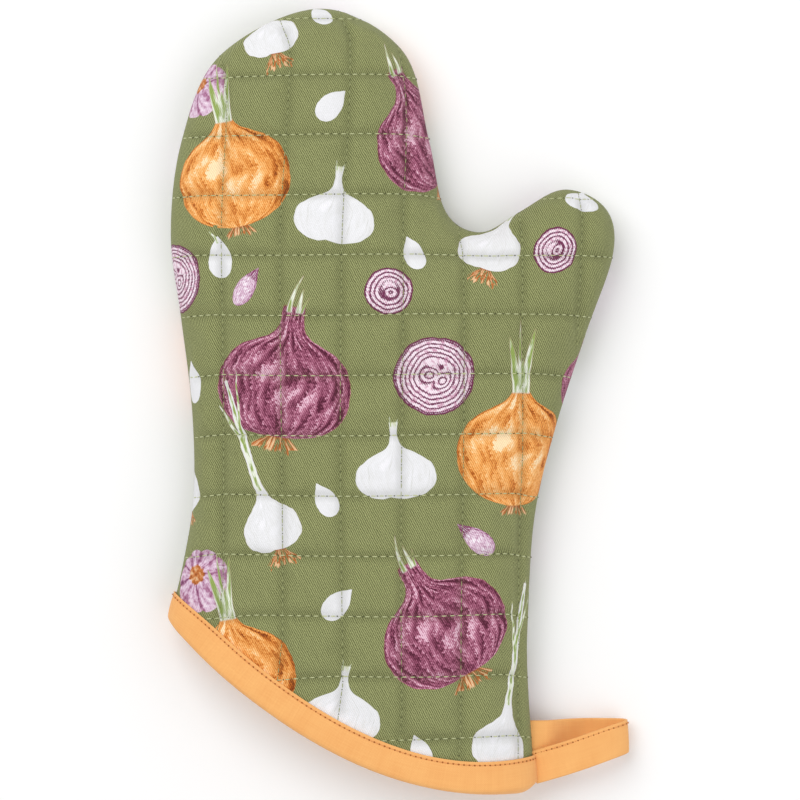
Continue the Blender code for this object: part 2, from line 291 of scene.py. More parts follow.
def line_distance(points):
    """Distance from the nearest quilting line, row or column."""
    across = []
    for axis, first in ((1, QUILT_ROW), (0, QUILT_COLUMN)):
        phase = (points[:, axis] - first) / QUILT_PITCH
        across.append(np.abs(phase - np.round(phase)) * QUILT_PITCH)
    return np.minimum(*across)


def pinch():
    """At each plan point: 1 on a quilting line, 0 between lines, at the seam and under the tape."""
    fade = np.clip(distance_to(SEAM, PLAN) / EDGE_FADE, 0, 1)
    fade *= np.clip((distance_to(CUFF, PLAN) - TAPE_WIDTH + 1) / EDGE_FADE, 0, 1)
    return np.exp(-(FROM_LINE / PINCH_WIDTH)**2) * fade


def cloth_places(points, panel):
    """Where each plan point lies on the flat cloth: the rounded edge takes up extra cloth."""
    inward, distance = inward_and_distance(points)
    inward /= np.maximum(np.linalg.norm(inward, axis=1), 1e-9)[:, None]
    steps = np.linspace(0, panel["reach"], 400)
    bow = panel["rise"] * np.sqrt(1 - (1 - steps / panel["reach"])**2)
    run = np.concatenate([[0], np.cumsum(np.hypot(np.diff(steps), np.diff(bow)))])
    taken_up = (run[-1] - run) - (panel["reach"] - steps)
    return points - inward * np.interp(distance, steps, taken_up)[:, None]


def new_piece(name, points, faces, cloth=None):
    """A mesh piece from millimetres, with the cloth's own coordinates as a UV map."""
    mesh = bpy.data.meshes.new(name)
    mesh.from_pydata([tuple(p) for p in np.asarray(points) * MM], [], faces)
    if cloth is not None:
        layer = mesh.uv_layers.new(name="cloth")
        corners = np.array([loop.vertex_index for loop in mesh.loops])
        layer.uv.foreach_set("vector", np.asarray(cloth, np.float32)[corners].ravel())
    mesh.shade_smooth()
    piece = bpy.data.objects.new(name, mesh)
    scene.collection.objects.link(piece)
    return piece


def apply_modifiers(piece):
    """The evaluated shape becomes the piece's own mesh."""
    view = bpy.context.evaluated_depsgraph_get()
    mesh = bpy.data.meshes.new_from_object(piece.evaluated_get(view))
    mesh.name = piece.name
    piece.modifiers.clear()
    old, piece.data = piece.data, mesh
    bpy.data.meshes.remove(old)


def finish_shape(piece, wall=0.0, offset=0.0, smooth=False):
    """Gives a surface its wall in millimetres, rounds it once, and keeps the result."""
    if wall:
        solid = piece.modifiers.new("thickness", "SOLIDIFY")
        solid.thickness, solid.offset = wall * MM, offset
    if smooth:
        rounded = piece.modifiers.new("smooth", "SUBSURF")
        rounded.levels = rounded.render_levels = 1
    apply_modifiers(piece)


def turned(faces, panel):
    """Faces wound so that they look out of the mitt on either panel."""
    return faces if panel["side"] > 0 else [face[::-1] for face in faces]


FROM_LINE = line_distance(STRAIGHT)
PINCH = pinch()
print("points on a stitched line:", int((PINCH > 0.9).sum()), "of", len(PLAN))

# %% [markdown]
# ## Padded twill by cloth simulation
#
# A pillow's folds depend on how cloth buckles, which a formula doesn't give. So the outer cloth of
# each panel is simulated: every point on a stitched line and round the edge is held, pressure
# blows the squares out, and a few per cent of extra cloth makes it pucker at the stitches. The
# movement is capped, because real wadding only fills so much. Then the held lines are sunk, the
# mesh is subdivided once, and Solidify gives the cloth its thickness.

# %% Simulated panels
START_DEPTH = 0.3
PUFF = 1.7
SINK = 1.5
PRESSURE = 4.0
EXTRA_CLOTH = 0.03
FRAMES = 20
FLOOR_CLEARANCE = 0.1


def blown_out(piece, held):
    """The cloth's points after a short simulation with some of them held."""
    group = piece.vertex_groups.new(name="held")
    for index, weight in enumerate(held):
        if weight:
            group.add([index], float(weight), "REPLACE")
    cloth = piece.modifiers.new("puff", "CLOTH")
    settings = cloth.settings
    settings.quality = 6
    settings.mass = 0.2
    settings.tension_stiffness = 12
    settings.compression_stiffness = 12
    settings.shear_stiffness = 4
    settings.bending_stiffness = 0.05
    settings.shrink_min = -EXTRA_CLOTH
    settings.use_pressure = True
    settings.uniform_pressure_force = PRESSURE
    settings.vertex_group_mass = "held"
    settings.effector_weights.gravity = 0
    cloth.collision_settings.use_collision = False
    cloth.point_cache.frame_start, cloth.point_cache.frame_end = 1, FRAMES
    for frame_number in range(1, FRAMES + 1):
        scene.frame_set(frame_number)
    view = bpy.context.evaluated_depsgraph_get()
    moved = np.empty(len(held) * 3, np.float32)
    piece.evaluated_get(view).data.vertices.foreach_get("co", moved)
    piece.modifiers.clear()
    piece.vertex_groups.clear()
    scene.frame_set(1)
    return moved.reshape(-1, 3) / MM


def puffed_panel(name, panel):
    """One panel's outer cloth: blown out, capped, kept off the wadding and sunk at the stitches."""
    start = skin(PLAN, START_DEPTH, panel)
    piece = new_piece(name, start, turned(PLAN_FACES, panel), cloth_places(PLAN, panel))
    rim = np.minimum(distance_to(SEAM, PLAN), distance_to(CUFF, PLAN) - TAPE_WIDTH)
    held = np.maximum(FROM_LINE < 0.3, rim < 2.5).astype(float)
    moved = blown_out(piece, held)
    step = moved - start
    outward = skin(PLAN, START_DEPTH - 1, panel) - start
    inwards = np.minimum((step * outward).sum(axis=1) + 0.2, 0)
    step -= outward * inwards[:, None]
    size = np.linalg.norm(step, axis=1)
    step *= (np.minimum(size, PUFF) / np.maximum(size, 1e-6))[:, None]
    step[held > 0.5] = 0
    sink = skin(PLAN, START_DEPTH + SINK * PINCH, panel) - start
    final = start + step + sink
    final[:, 2] = np.maximum(final[:, 2], FLOOR_CLEARANCE)
    rim_points = distance_to(SEAM, PLAN) < 0.02
    final[rim_points, 2] = SEAM_HEIGHT + panel["side"] * 0.04
    piece.data.vertices.foreach_set("co", (final * MM).astype(np.float32).ravel())
    # The crease attribute carries painted shade: the twill's colour darkens along the stitched lines,
    # where the sunk cloth lies in shade.
    crease = piece.data.attributes.new("crease", "FLOAT", "POINT")
    crease.data.foreach_set("value", (PINCH**2).astype(np.float32))
    piece.data.update()
    finish_shape(piece, smooth=True)
    print(name, "moved", size.max().round(2), "mm at most;", len(piece.data.polygons), "faces")
    return piece


back_cloth = puffed_panel("back_quilted_cloth", BACK)
palm_cloth = puffed_panel("palm_quilted_cloth", PALM)

# %% [markdown]
# ## Shader helpers
#
# Every finish here is made of nodes, so a small helper that adds a node and joins it in one line
# keeps the recipes readable, and a node's output adds and multiplies like a number. Colours are
# given as they look on a screen, 0 to 255, and turned into the linear values that Blender works in.

# %% Node helper


def ink(red, green, blue):
    """A screen colour as linear RGBA."""
    parts = [c / 255 for c in (red, green, blue)]
    linear = [c / 12.92 if c <= 0.04045 else ((c + 0.055) / 1.055)**2.4 for c in parts]
    return (*linear, 1.0)


class Value:
    """A node's output. Sums, products, powers and abs() of values become Math nodes."""

    def __init__(self, recipe, socket):
        self.recipe, self.socket = recipe, socket

    def __abs__(self):
        return self.recipe.math("ABSOLUTE", self)


def arithmetic(operation, swapped):
    def act(value, other):
        return value.recipe.math(operation, *((other, value) if swapped else (value, other)))
    return act


for word, operation in (("add", "ADD"), ("sub", "SUBTRACT"), ("mul", "MULTIPLY"),
                        ("truediv", "DIVIDE"), ("pow", "POWER")):
    setattr(Value, f"__{word}__", arithmetic(operation, False))
    setattr(Value, f"__r{word}__", arithmetic(operation, True))


class Recipe:
    """Adds nodes to one tree; an input may be a number, a colour or a Value."""

    def __init__(self, tree):
        self.tree = tree

    def feed(self, socket, value):
        if isinstance(value, Value):
            self.tree.links.new(value.socket, socket)
        else:
            socket.default_value = value

    def add(self, kind, inputs=None, **settings):
        node = self.tree.nodes.new(kind)
        for name, value in settings.items():
            setattr(node, name, value)
        for name, value in (inputs or {}).items():
            self.feed(node.inputs[name], value)
        return node

    def get(self, kind, inputs=None, output=0, **settings):
        """Adds a node and hands back one of its outputs."""
        return Value(self, self.add(kind, inputs, **settings).outputs[output])

    def every(self, node):
        """All of a node's outputs by name."""
        return {socket.name: Value(self, socket) for socket in node.outputs}

    def math(self, operation, *values, clamp=False):
        return self.get("ShaderNodeMath", dict(enumerate(values)), operation=operation, use_clamp=clamp)

    def fade(self, value, low, high):
        """0 at low, 1 at high, smooth between; high may be the smaller one."""
        return self.get("ShaderNodeMapRange", {0: value, 1: low, 2: high}, interpolation_type="SMOOTHSTEP")

    def mix(self, share, first, second, blend="MIX"):
        return self.get("ShaderNodeMix", {0: share, 6: first, 7: second}, output=2,
                        data_type="RGBA", blend_type=blend)

    def ramp(self, value, stops):
        node = self.add("ShaderNodeValToRGB", {0: value})
        marks = node.color_ramp.elements
        while len(marks) < len(stops):
            marks.new(0.5)
        for mark, (place, colour) in zip(marks, stops):
            mark.position, mark.color = place, colour
        return Value(self, node.outputs[0])

    def noise(self, vector, scale, detail=2.0):
        return self.get("ShaderNodeTexNoise", {"Vector": vector, "Scale": scale, "Detail": detail})

    def xyz(self, x, y, z=0.0):
        return self.get("ShaderNodeCombineXYZ", {0: x, 1: y, 2: z})

    def parts(self, vector):
        return self.every(self.add("ShaderNodeSeparateXYZ", {0: vector})).values()


for word in ("sine", "cosine", "arcsine", "arctan2", "radians", "sqrt", "fract", "floor", "minimum",
             "maximum"):
    setattr(Recipe, word, partialmethod(Recipe.math, word.upper()))


def new_group(name, inputs, outputs):
    """An empty shader group: {name: default} in, {name: kind} out."""
    tree = bpy.data.node_groups.new(name, "ShaderNodeTree")
    for label, default in inputs.items():
        vector = isinstance(default, tuple)
        made = tree.interface.new_socket(
            label, in_out="INPUT", socket_type="NodeSocketVector" if vector else "NodeSocketFloat")
        made.default_value = default
    for label, kind in outputs.items():
        tree.interface.new_socket(label, in_out="OUTPUT", socket_type="NodeSocket" + kind)
    recipe = Recipe(tree)
    return recipe, recipe.every(recipe.add("NodeGroupInput")), recipe.add("NodeGroupOutput")


def use(recipe, group, **inputs):
    """Places a group in a tree and hands back its outputs by name."""
    return recipe.every(recipe.add("ShaderNodeGroup", inputs, node_tree=group))


print("an olive of 137, 141, 94 is", [round(c, 3) for c in ink(137, 141, 94)])

# %% [markdown]
# ## Twill
#
# In a twill each weft thread steps one warp over from row to row, so the cloth shows steep
# diagonal ribs, about one to the millimetre here. The group reads the cloth's own coordinates, in
# millimetres, so the ribs stay on the thread line wherever the panel bends. It puts out a height
# for the Bump node and a light value that darkens the grooves: painted shade, with the yarn's own
# uneven tone added.

# %% Weave groups


def twill_group():
    recipe, given, out = new_group(
        "twill weave", {"Cloth": (0.0, 0.0, 0.0), "Rib": 0.8, "Steepness": 62.0},
        {"Height": "Float", "Light": "Float"})
    x, y, _ = recipe.parts(given["Cloth"])
    angle = recipe.radians(given["Steepness"])
    across = x * recipe.sine(angle) + y * recipe.cosine(angle)
    along = y * recipe.sine(angle) - x * recipe.cosine(angle)
    wander = recipe.noise(recipe.xyz(x, y), 0.35, 1.0)
    ribs = across / given["Rib"] + wander * 0.7
    rib = recipe.sine(recipe.fract(ribs) * math.pi)
    float_place = along / 0.62 + recipe.floor(ribs) * 0.37
    float_rise = recipe.sine(recipe.fract(float_place) * math.pi)
    height = rib * (0.5 + float_rise * 0.5)
    slub = recipe.noise(recipe.xyz(ribs * 1.7, along * 0.12), 1.0)
    fuzz = recipe.noise(recipe.xyz(x, y), 1.9, 4.0)
    uneven = (slub - 0.5) * 0.3 + (fuzz - 0.5) * 1.1
    # Painted shade in the grooves, from the height, plus the yarn's own slubs and fuzz.
    light = height + uneven
    recipe.feed(out.inputs["Height"], height)
    recipe.feed(out.inputs["Light"], light)
    return recipe.tree


def plain_group():
    """One over, one under: a fine grid of bumps, each thread a little different."""
    recipe, given, out = new_group(
        "plain weave", {"Cloth": (0.0, 0.0, 0.0), "Thread": 0.36},
        {"Height": "Float", "Light": "Float"})
    x, y, _ = recipe.parts(given["Cloth"])
    warp = (x + recipe.noise(recipe.xyz(x, y), 0.3, 1.0) * 0.5) / given["Thread"]
    weft = y / given["Thread"]
    over = recipe.sine(warp * math.pi) * recipe.sine(weft * math.pi)
    height = 0.5 + over * 0.5
    thick = (recipe.noise(recipe.xyz(warp * 0.7, y * 0.05), 1.0)
             + recipe.noise(recipe.xyz(x * 0.05, weft * 0.7), 1.0))
    # Painted shade between crossing threads, from the height, plus each thread's own thickness in tone.
    light = height * 0.35 + thick * 0.35
    recipe.feed(out.inputs["Height"], height)
    recipe.feed(out.inputs["Light"], light)
    return recipe.tree


TWILL = twill_group()
PLAIN = plain_group()
print("weave groups:", TWILL.name, "and", PLAIN.name)

# %% [markdown]
# ## Drawing the vegetables
#
# The print is a scatter of onions, garlic, cloves and cut slices, as on many kitchen cloths. Each
# kind is one group that draws in its own coordinates: the middle of the body is 0, 0, the half
# width is 1, and the stem points up. A bulb is a turned shape, so a Float Curve gives its half
# width at each height, and its veins run like meridians: evenly by angle, crowded at the sides.

# %% Bulb drawings


def streaks(recipe, x, y, wide, tall, detail=3.0):
    """Noise drawn out along y."""
    return recipe.noise(recipe.xyz(x * wide, y * tall), 1.0, detail)


def outline(recipe, profile, y):
    """Half width of a turned shape at height y, from (height, half width) points."""
    low, high = profile[0][0], profile[-1][0]
    up = (y - low) / (high - low)
    curve = recipe.add("ShaderNodeFloatCurve", {"Factor": 1.0, "Value": up})
    line = curve.mapping.curves[0]
    while len(line.points) < len(profile):
        line.points.new(0.5, 0.5)
    for point, (height, width) in zip(line.points, profile):
        point.location = ((height - low) / (high - low), width)
    curve.mapping.update()
    return Value(recipe, curve.outputs[0])


def draw_shoots(recipe, x, y, shoots):
    """Pale leaves with a green core; a shoot is its foot x, y, its lean, bow, length and half width."""
    cover, core = 0.0, 0.0
    for foot_x, foot_y, lean, bow, length, half in shoots:
        along = recipe.math("DIVIDE", y - foot_y, length, clamp=True)
        middle = foot_x + (along * lean + along * along * bow)
        width = recipe.sqrt(1.0 - along) * half
        off = abs(x - middle)
        tip = foot_y + length
        between = recipe.fade(y, foot_y, foot_y + 0.04) * recipe.fade(y, tip, tip - 0.03)
        drawn = recipe.fade(width - off, -0.005, 0.02) * between
        cover = recipe.maximum(cover, drawn)
        core = recipe.maximum(core, drawn * recipe.fade(off / half, 0.62, 0.3))
    broken = recipe.fade(streaks(recipe, x, y, 9.0, 2.2), 0.4, 0.56)
    colour = recipe.mix(core * broken, SHOOT_WHITE, SHOOT_GREEN)
    return cover, colour


def draw_roots(recipe, x, y, base, length, spread_by):
    """A tuft of hairs fanning out below the base, brown at the plate and pale at the tips."""
    down = base - y
    fan = x / (recipe.maximum(down, 0.0) * spread_by + 0.13)
    hair = streaks(recipe, fan, down, 6.0, 3.0, 2.0)
    reach = (0.5 + streaks(recipe, fan, 1.0, 3.3, 0.0, 1.0)) * length
    tuft = recipe.fade(hair, 0.43, 0.5) * recipe.fade(down, -0.06, 0.0)
    tuft = tuft * recipe.fade(reach - down, 0.0, 0.05) * recipe.fade(abs(fan), 1.1, 0.9)
    plate = recipe.fade(down, 0.1, 0.03) * recipe.fade(abs(x), 0.2, 0.13)
    plate = plate * recipe.fade(down, -0.06, -0.02)
    light = recipe.fade(hair, 0.5, 0.62) + down / length * 0.3
    colour = recipe.ramp(light, [(0.0, ROOT_DARK), (0.5, ROOT_INK), (1.0, ROOT_TIP)])
    return recipe.maximum(tuft, plate), colour


def drawing_group(name):
    """A group that draws one kind: its place on the cloth and the weave's painted shade and own tone in,
    ink and cover out.
    """
    return new_group(name, {"Place": (0.0, 0.0, 0.0), "Grain": 0.5}, {"Ink": "Color", "Cover": "Float"})


def finish_drawing(recipe, out, drawn, cover):
    recipe.feed(out.inputs["Ink"], drawn)
    recipe.feed(out.inputs["Cover"], cover)
    return recipe.tree


def bulb_group(name, profile, tones, level, blotches=0.4, streaking=0.9, stipple=0.3, side_shade=0.16,
               folds=0.0, highlight=0.0, shoots=(), roots=None, neck=None):
    """profile: (height, half width). tones: dark to light, and level is where the skin lies among
    them. shoots: see draw_shoots. roots: length and spread. neck: height it starts at, and ink."""
    recipe, given, out = drawing_group(name)
    x, y, _ = recipe.parts(given["Place"])
    low, high = profile[0][0], profile[-1][0]
    wobble = recipe.noise(given["Place"], 2.3, 4.0) - 0.5
    width = outline(recipe, profile, y) + wobble * 0.12
    side = x / recipe.maximum(width, 0.03)
    lobed = y + abs(recipe.sine((x + 0.18) * 3.6)) * (folds * 0.16)
    foot = low + folds * 0.14
    body = recipe.fade(width - abs(x), 0.0, 0.02) * recipe.fade(lobed, foot, foot + 0.03)
    body = body * recipe.fade(y, high, high - 0.05)
    turn = recipe.arcsine(recipe.minimum(recipe.maximum(side, -0.999), 0.999)) / (math.pi / 2)
    bent = turn + (streaks(recipe, turn, y, 2.0, 1.4, 1.0) - 0.5) * 0.3
    speck = recipe.noise(given["Place"], 24.0, 3.0) - 0.5
    torn = bent + speck * 0.12
    blotch = streaks(recipe, torn, y, 4.6, 2.4, 5.0) - 0.5
    streak = streaks(recipe, torn, y, 12.0, 2.2, 4.0) - 0.5
    tone = level + (blotch * blotches + streak * streaking)
    tone = tone + speck * stipple
    tone = tone - abs(turn + 0.12) ** 2.0 * side_shade
    crease = abs(recipe.fract(bent * 2.6 + 0.3) - 0.5)
    tone = tone - recipe.fade(crease, 0.44, 0.5) * recipe.fade(streak + blotch, -0.1, 0.1) * folds
    shine = recipe.fade(abs(torn + 0.2), 0.13, 0.04) * recipe.fade(y, -0.3, 0.2)
    shine = shine * recipe.fade(streak + blotch, -0.06, 0.16)
    tone = tone + shine * highlight
    # The weave's painted groove shade and yarn tone show in the ink's tone.
    tone = tone + (given["Grain"] - 0.5) * (stipple * 0.3)
    drawn = recipe.ramp(tone, [(i / (len(tones) - 1), colour) for i, colour in enumerate(tones)])
    if neck:
        start, neck_ink = neck
        fibres = recipe.fade(streaks(recipe, x, y, 12.0, 1.0), 0.36, 0.52)
        drawn = recipe.mix(recipe.fade(y, start, start + 0.3) * fibres, drawn, neck_ink)
    cover = body
    if roots:
        tuft, root_ink = draw_roots(recipe, x, y, low + 0.05, *roots)
        drawn = recipe.mix(body, root_ink, drawn)
        cover = recipe.maximum(cover, tuft)
    if shoots:
        leaf, leaf_ink = draw_shoots(recipe, x, y, shoots)
        drawn = recipe.mix(leaf, drawn, leaf_ink)
        cover = recipe.maximum(cover, leaf)
    return finish_drawing(recipe, out, drawn, cover)


def inks(*colours):
    return [ink(*colour) for colour in colours]


YELLOW = inks((132, 62, 18), (195, 108, 36), (236, 159, 80), (249, 188, 118), (255, 226, 182))
RED = inks((84, 28, 50), (125, 58, 84), (160, 91, 117), (193, 126, 151), (230, 188, 206))
WHITE = inks((190, 190, 184), (216, 216, 214), (228, 228, 229), (234, 234, 237), (241, 240, 244))
PURPLE = inks((126, 58, 100), (178, 126, 158), (214, 180, 202), (232, 212, 226), (246, 236, 244))
SHOOT_WHITE, SHOOT_GREEN = ink(232, 236, 220), ink(146, 166, 88)
ROOT_DARK, ROOT_INK, ROOT_TIP = ink(150, 76, 30), ink(202, 122, 62), ink(230, 190, 146)

yellow_onion = bulb_group(
    "yellow onion",
    [(-0.9, 0.0), (-0.87, 0.26), (-0.76, 0.58), (-0.54, 0.86), (-0.24, 1.02), (0.06, 1.04), (0.34, 0.96),
     (0.58, 0.76), (0.74, 0.5), (0.86, 0.28), (1.0, 0.17), (1.16, 0.12)],
    YELLOW, 0.6, blotches=1.7, streaking=1.1, stipple=0.7, side_shade=0.4, highlight=0.45,
    shoots=[(-0.06, 0.95, -0.12, -0.06, 0.95, 0.1), (0.07, 0.95, 0.02, 0.1, 1.1, 0.09),
            (0.0, 0.95, 0.0, 0.02, 0.6, 0.08), (-0.02, 0.95, -0.04, 0.0, 1.25, 0.05)],
    roots=(0.2, 1.0), neck=(0.84, ink(212, 134, 68)))
red_onion = bulb_group(
    "red onion",
    [(-0.8, 0.0), (-0.77, 0.36), (-0.64, 0.74), (-0.36, 1.0), (-0.04, 1.06), (0.26, 0.99), (0.5, 0.8),
     (0.66, 0.52), (0.76, 0.32), (0.9, 0.22), (1.1, 0.19), (1.24, 0.17)],
    RED, 0.43, blotches=0.9, streaking=2.8, stipple=1.4, side_shade=0.12, highlight=0.12,
    shoots=[(-0.07, 1.1, 0.0, 0.16, 0.62, 0.05), (0.07, 1.1, 0.02, 0.02, 0.42, 0.05),
            (0.11, 1.1, 0.06, 0.05, 0.3, 0.035)], roots=(0.28, 1.3))
garlic_bulb = bulb_group(
    "garlic bulb",
    [(-0.76, 0.0), (-0.73, 0.4), (-0.58, 0.82), (-0.28, 1.03), (0.02, 1.0), (0.26, 0.78), (0.46, 0.46),
     (0.6, 0.22), (0.8, 0.12), (1.1, 0.11), (1.26, 0.13)],
    WHITE, 0.66, folds=0.42, highlight=0.2, neck=(1.0, ink(206, 210, 168)),
    shoots=[(-0.06, 1.1, -0.03, 0.0, 0.3, 0.03), (0.05, 1.1, 0.06, 0.04, 0.24, 0.03)])
stem_garlic = bulb_group(
    "garlic with its stem",
    [(-0.86, 0.0), (-0.82, 0.42), (-0.64, 0.8), (-0.3, 1.02), (0.1, 1.0), (0.46, 0.78), (0.78, 0.46),
     (1.1, 0.24), (1.6, 0.16), (2.6, 0.15), (4.2, 0.12), (5.4, 0.07)],
    WHITE, 0.62, folds=0.32, highlight=0.2, roots=(0.62, 0.95),
    shoots=[(0.0, 1.3, 0.0, 0.0, 4.3, 0.11), (0.0, 3.0, -0.6, 0.0, 1.8, 0.09),
            (0.0, 3.4, 0.45, 0.1, 2.3, 0.07)])
CLOVE = {"profile": [(-1.75, 0.0), (-1.62, 0.46), (-1.25, 0.84), (-0.65, 1.04), (0.0, 1.02), (0.6, 0.84),
                     (1.1, 0.54), (1.5, 0.26), (1.85, 0.03)],
         "tones": WHITE, "level": 0.66, "streaking": 0.5, "side_shade": 0.1}
white_clove = bulb_group("peeled clove", **CLOVE)
stemmed_clove = bulb_group("clove with its stem", shoots=[(-0.05, 1.2, -0.1, -0.8, 1.4, 0.14)], **CLOVE)
purple_clove = bulb_group(
    "purple clove",
    [(-2.2, 0.0), (-2.05, 0.4), (-1.5, 0.82), (-0.7, 1.04), (0.1, 1.0), (0.9, 0.74), (1.5, 0.46),
     (2.0, 0.22), (2.4, 0.03)],
    PURPLE, 0.62, blotches=1.2, streaking=1.9, stipple=0.5, side_shade=0.5, highlight=0.3,
    neck=(0.9, ink(130, 56, 96)))
print("bulb drawings:", ", ".join(g.name for g in bpy.data.node_groups if "weave" not in g.name))

# %% [markdown]
# ## Drawing the cut slices and the clove head
#
# A cut onion is rings: pale flesh with a thin purple line between layers. Near the middle the
# layers wrap two buds instead of one, so the distance from the rim is blended with the distance
# from the nearer bud. A head of garlic seen from its root end is cloves round a brown plate.

# %% Round drawings


def slice_group(name, layers, fine, buds):
    """layers: rings from middle to rim. fine: how thin their lines are, 0 to 0.1. buds: x, y, squash."""
    recipe, given, out = drawing_group(name)
    x, y, _ = recipe.parts(given["Place"])
    sway = (recipe.noise(given["Place"], 1.6, 3.0) - 0.5) * 0.2

    def distance(from_x, from_y, squash):
        off_x, off_y = x - from_x, y - from_y
        return recipe.sqrt(off_x * off_x + off_y * off_y * squash)

    radius = distance(0.0, 0.0, 1.14) + sway
    nearer = distance(*buds[0])
    for bud in buds[1:]:
        nearer = recipe.minimum(nearer, distance(*bud))
    nearer = nearer + 0.16
    rings = nearer + recipe.fade(radius, 0.2, 0.48) * (radius - nearer)
    grain = recipe.noise(recipe.xyz(x * 9.0, y * 9.0), 1.0, 3.0)
    # Flesh grain, and the weave's painted groove shade and yarn tone under the ink.
    uneven = (grain - 0.5) * 0.3 + (0.5 - given["Grain"]) * 0.26
    count = recipe.maximum(rings, 0.0) ** 1.1 * layers
    ridge = abs(recipe.fract(count) - 0.5)
    line = recipe.fade(ridge + uneven, 0.2 + fine, 0.34 + fine)
    flesh = recipe.mix(recipe.fade(grain, 0.36, 0.52), ink(208, 158, 182), ink(243, 226, 236))
    drawn = recipe.mix(line, flesh, ink(112, 48, 82))
    drawn = recipe.mix(recipe.fade(radius + uneven * 0.12, 0.94, 0.97), drawn, ink(108, 42, 76))
    return finish_drawing(recipe, out, drawn, recipe.fade(radius, 1.02, 0.99))


def head_group():
    """A head of garlic from its root end."""
    recipe, given, out = drawing_group("head of cloves")
    x, y, _ = recipe.parts(given["Place"])
    off_y = y - 0.2
    sway = recipe.noise(given["Place"], 1.4, 3.0) - 0.5
    angle = recipe.arctan2(off_y, x + 0.15) + sway * 1.1
    radius = recipe.sqrt(x * x + y * y)
    to_plate = recipe.sqrt((x + 0.15) ** 2.0 + off_y * off_y)
    lobe = abs(recipe.sine(angle * 4.5))
    edge = 0.9 + (lobe ** 0.5 * 0.1 + sway * 0.2)
    streak = streaks(recipe, angle, to_plate, 7.0, 1.6, 4.0)
    mottle = recipe.noise(given["Place"], 7.0, 4.0)
    tone = lobe ** 0.6 * 0.5 + ((streak - 0.5) * 1.2 + (mottle - 0.42) * 1.3)
    drawn = recipe.ramp(tone, [(0.0, ink(118, 56, 96)), (0.3, ink(176, 122, 154)),
                               (0.6, ink(218, 188, 210)), (1.0, ink(244, 232, 240))])
    plate = recipe.fade(to_plate + (mottle - 0.5) * 0.3, 0.34, 0.26)
    rooty = recipe.ramp(mottle, [(0.35, ROOT_DARK), (0.5, ROOT_INK), (0.65, ROOT_TIP)])
    drawn = recipe.mix(plate, drawn, rooty)
    return finish_drawing(recipe, out, drawn, recipe.fade(edge - radius, 0.0, 0.03))


cut_slice = slice_group("cut slice", 8.6, 0.04, [(-0.13, 0.02, 1.6), (0.2, -0.14, 1.2)])
small_slice = slice_group("small cut slice", 5.2, 0.02, [(0.04, -0.06, 1.7)])
clove_head = head_group()
print("round drawings:", cut_slice.name, "and", clove_head.name)

# %% [markdown]
# ## The scatter
#
# A printed cloth repeats. One repeat is 215 mm wide and 209 mm high and holds two dozen drawings,
# each at a place, with a lean to the left in degrees and a half width. Every face of the panel
# finds the drawing whose body or stem is nearest, takes the material that draws that kind, and
# gets another UV map: the same cloth seen from that drawing's own middle. Where one drawing lies
# over another, one more map does the same for the lower one.

# %% Motifs
REPEAT = (215.0, 209.4)
OFF_STRAIGHT = 2.4  # sideways in each repeat up the cloth
KINDS = {  # drawing, body's half height, stem's end, both in half widths
    "yellow_onion": (yellow_onion, 0.95, 2.2),
    "red_onion": (red_onion, 0.9, 1.75),
    "garlic": (garlic_bulb, 0.85, 1.4),
    "stem_garlic": (stem_garlic, 1.0, 5.8),
    "clove": (white_clove, 1.75, 1.85),
    "stemmed_clove": (stemmed_clove, 1.75, 2.6),
    "purple_clove": (purple_clove, 2.2, 2.4),
    "slice": (cut_slice, 1.0, 0.0),
    "small_slice": (small_slice, 1.0, 0.0),
    "head": (clove_head, 1.0, 0.0),
}
OVER = (("yellow_onion", "head"), ("stem_garlic", "red_onion"))
MOTIFS = [  # kind, x, y, lean, half width
    ("yellow_onion", -70.6, 93.6, 10, 24.4), ("yellow_onion", 51.3, -22.6, -2, 25.6),
    ("red_onion", -48.4, 5.6, -8, 27.6), ("red_onion", 19.6, -97.0, 31, 26.6),
    ("garlic", -26.6, 77.6, -6, 16.3), ("garlic", -1.2, -29.8, 4, 16.3),
    ("stem_garlic", -53.2, -53.4, 19, 12.0), ("stem_garlic", 38.6, 65.4, -13, 12.2),
    ("clove", -25.6, -85.8, -44, 4.7), ("clove", 6.65, 61.6, 20, 4.2),
    ("clove", -30.7, -42.2, 28, 4.4), ("stemmed_clove", -76.0, 59.4, 8, 5.0),
    ("clove", -91.8, 6.5, 0, 5.0), ("garlic", 79.3, 88.4, -14, 8.8),
    ("purple_clove", -64.0, 47.0, -34, 4.0), ("purple_clove", 33.1, -58.9, 52, 4.4),
    ("slice", 15.1, 9.7, 0, 17.2), ("small_slice", -4.0, 45.3, 0, 10.3),
    ("small_slice", 66.3, 63.3, 60, 10.4), ("slice", -100.4, 50.4, 0, 15.8),
    ("head", -85.6, -76.4, 0, 13.8), ("red_onion", 88.5, 5.0, 0, 15.0),
    ("stem_garlic", -99.0, -38.6, 10, 10.0), ("stem_garlic", 44.4, -145.4, -12, 12.8),
]
# Drawings that would lie on others: kind, x, and which repeat up the cloth leaves them out.
LEFT_OUT = {("small_slice", 66.3, -1), ("stem_garlic", 38.6, -1), ("stem_garlic", 44.4, 1)}
NEAR = 2.6  # a face this near to a drawing takes its material
STALK, WIDEST_STALK = 0.34, 12.0  # in half widths, and the half width that it stops growing at


def all_motifs(shift):
    """The repeat round the panel; the cloth is cut a little off the straight."""
    made = []
    for kind, x, y, lean, half in MOTIFS:
        for i in (-1, 0, 1):
            for j in (-1, 0, 1):
                if (kind, x, j) in LEFT_OUT:
                    continue
                made.append((kind, x + i * REPEAT[0] - j * OFF_STRAIGHT + shift[0],
                             y + j * REPEAT[1] + shift[1], lean, half))
    return made


def motif_places(points, motif):
    """Points seen from one drawing: its middle at 0, 0 and its half width 1."""
    _, x, y, lean, half = motif
    turn = math.radians(lean)
    dx, dy = points[:, 0] - x, points[:, 1] - y
    return np.stack([dx * math.cos(turn) + dy * math.sin(turn),
                     dy * math.cos(turn) - dx * math.sin(turn)], axis=1) / half


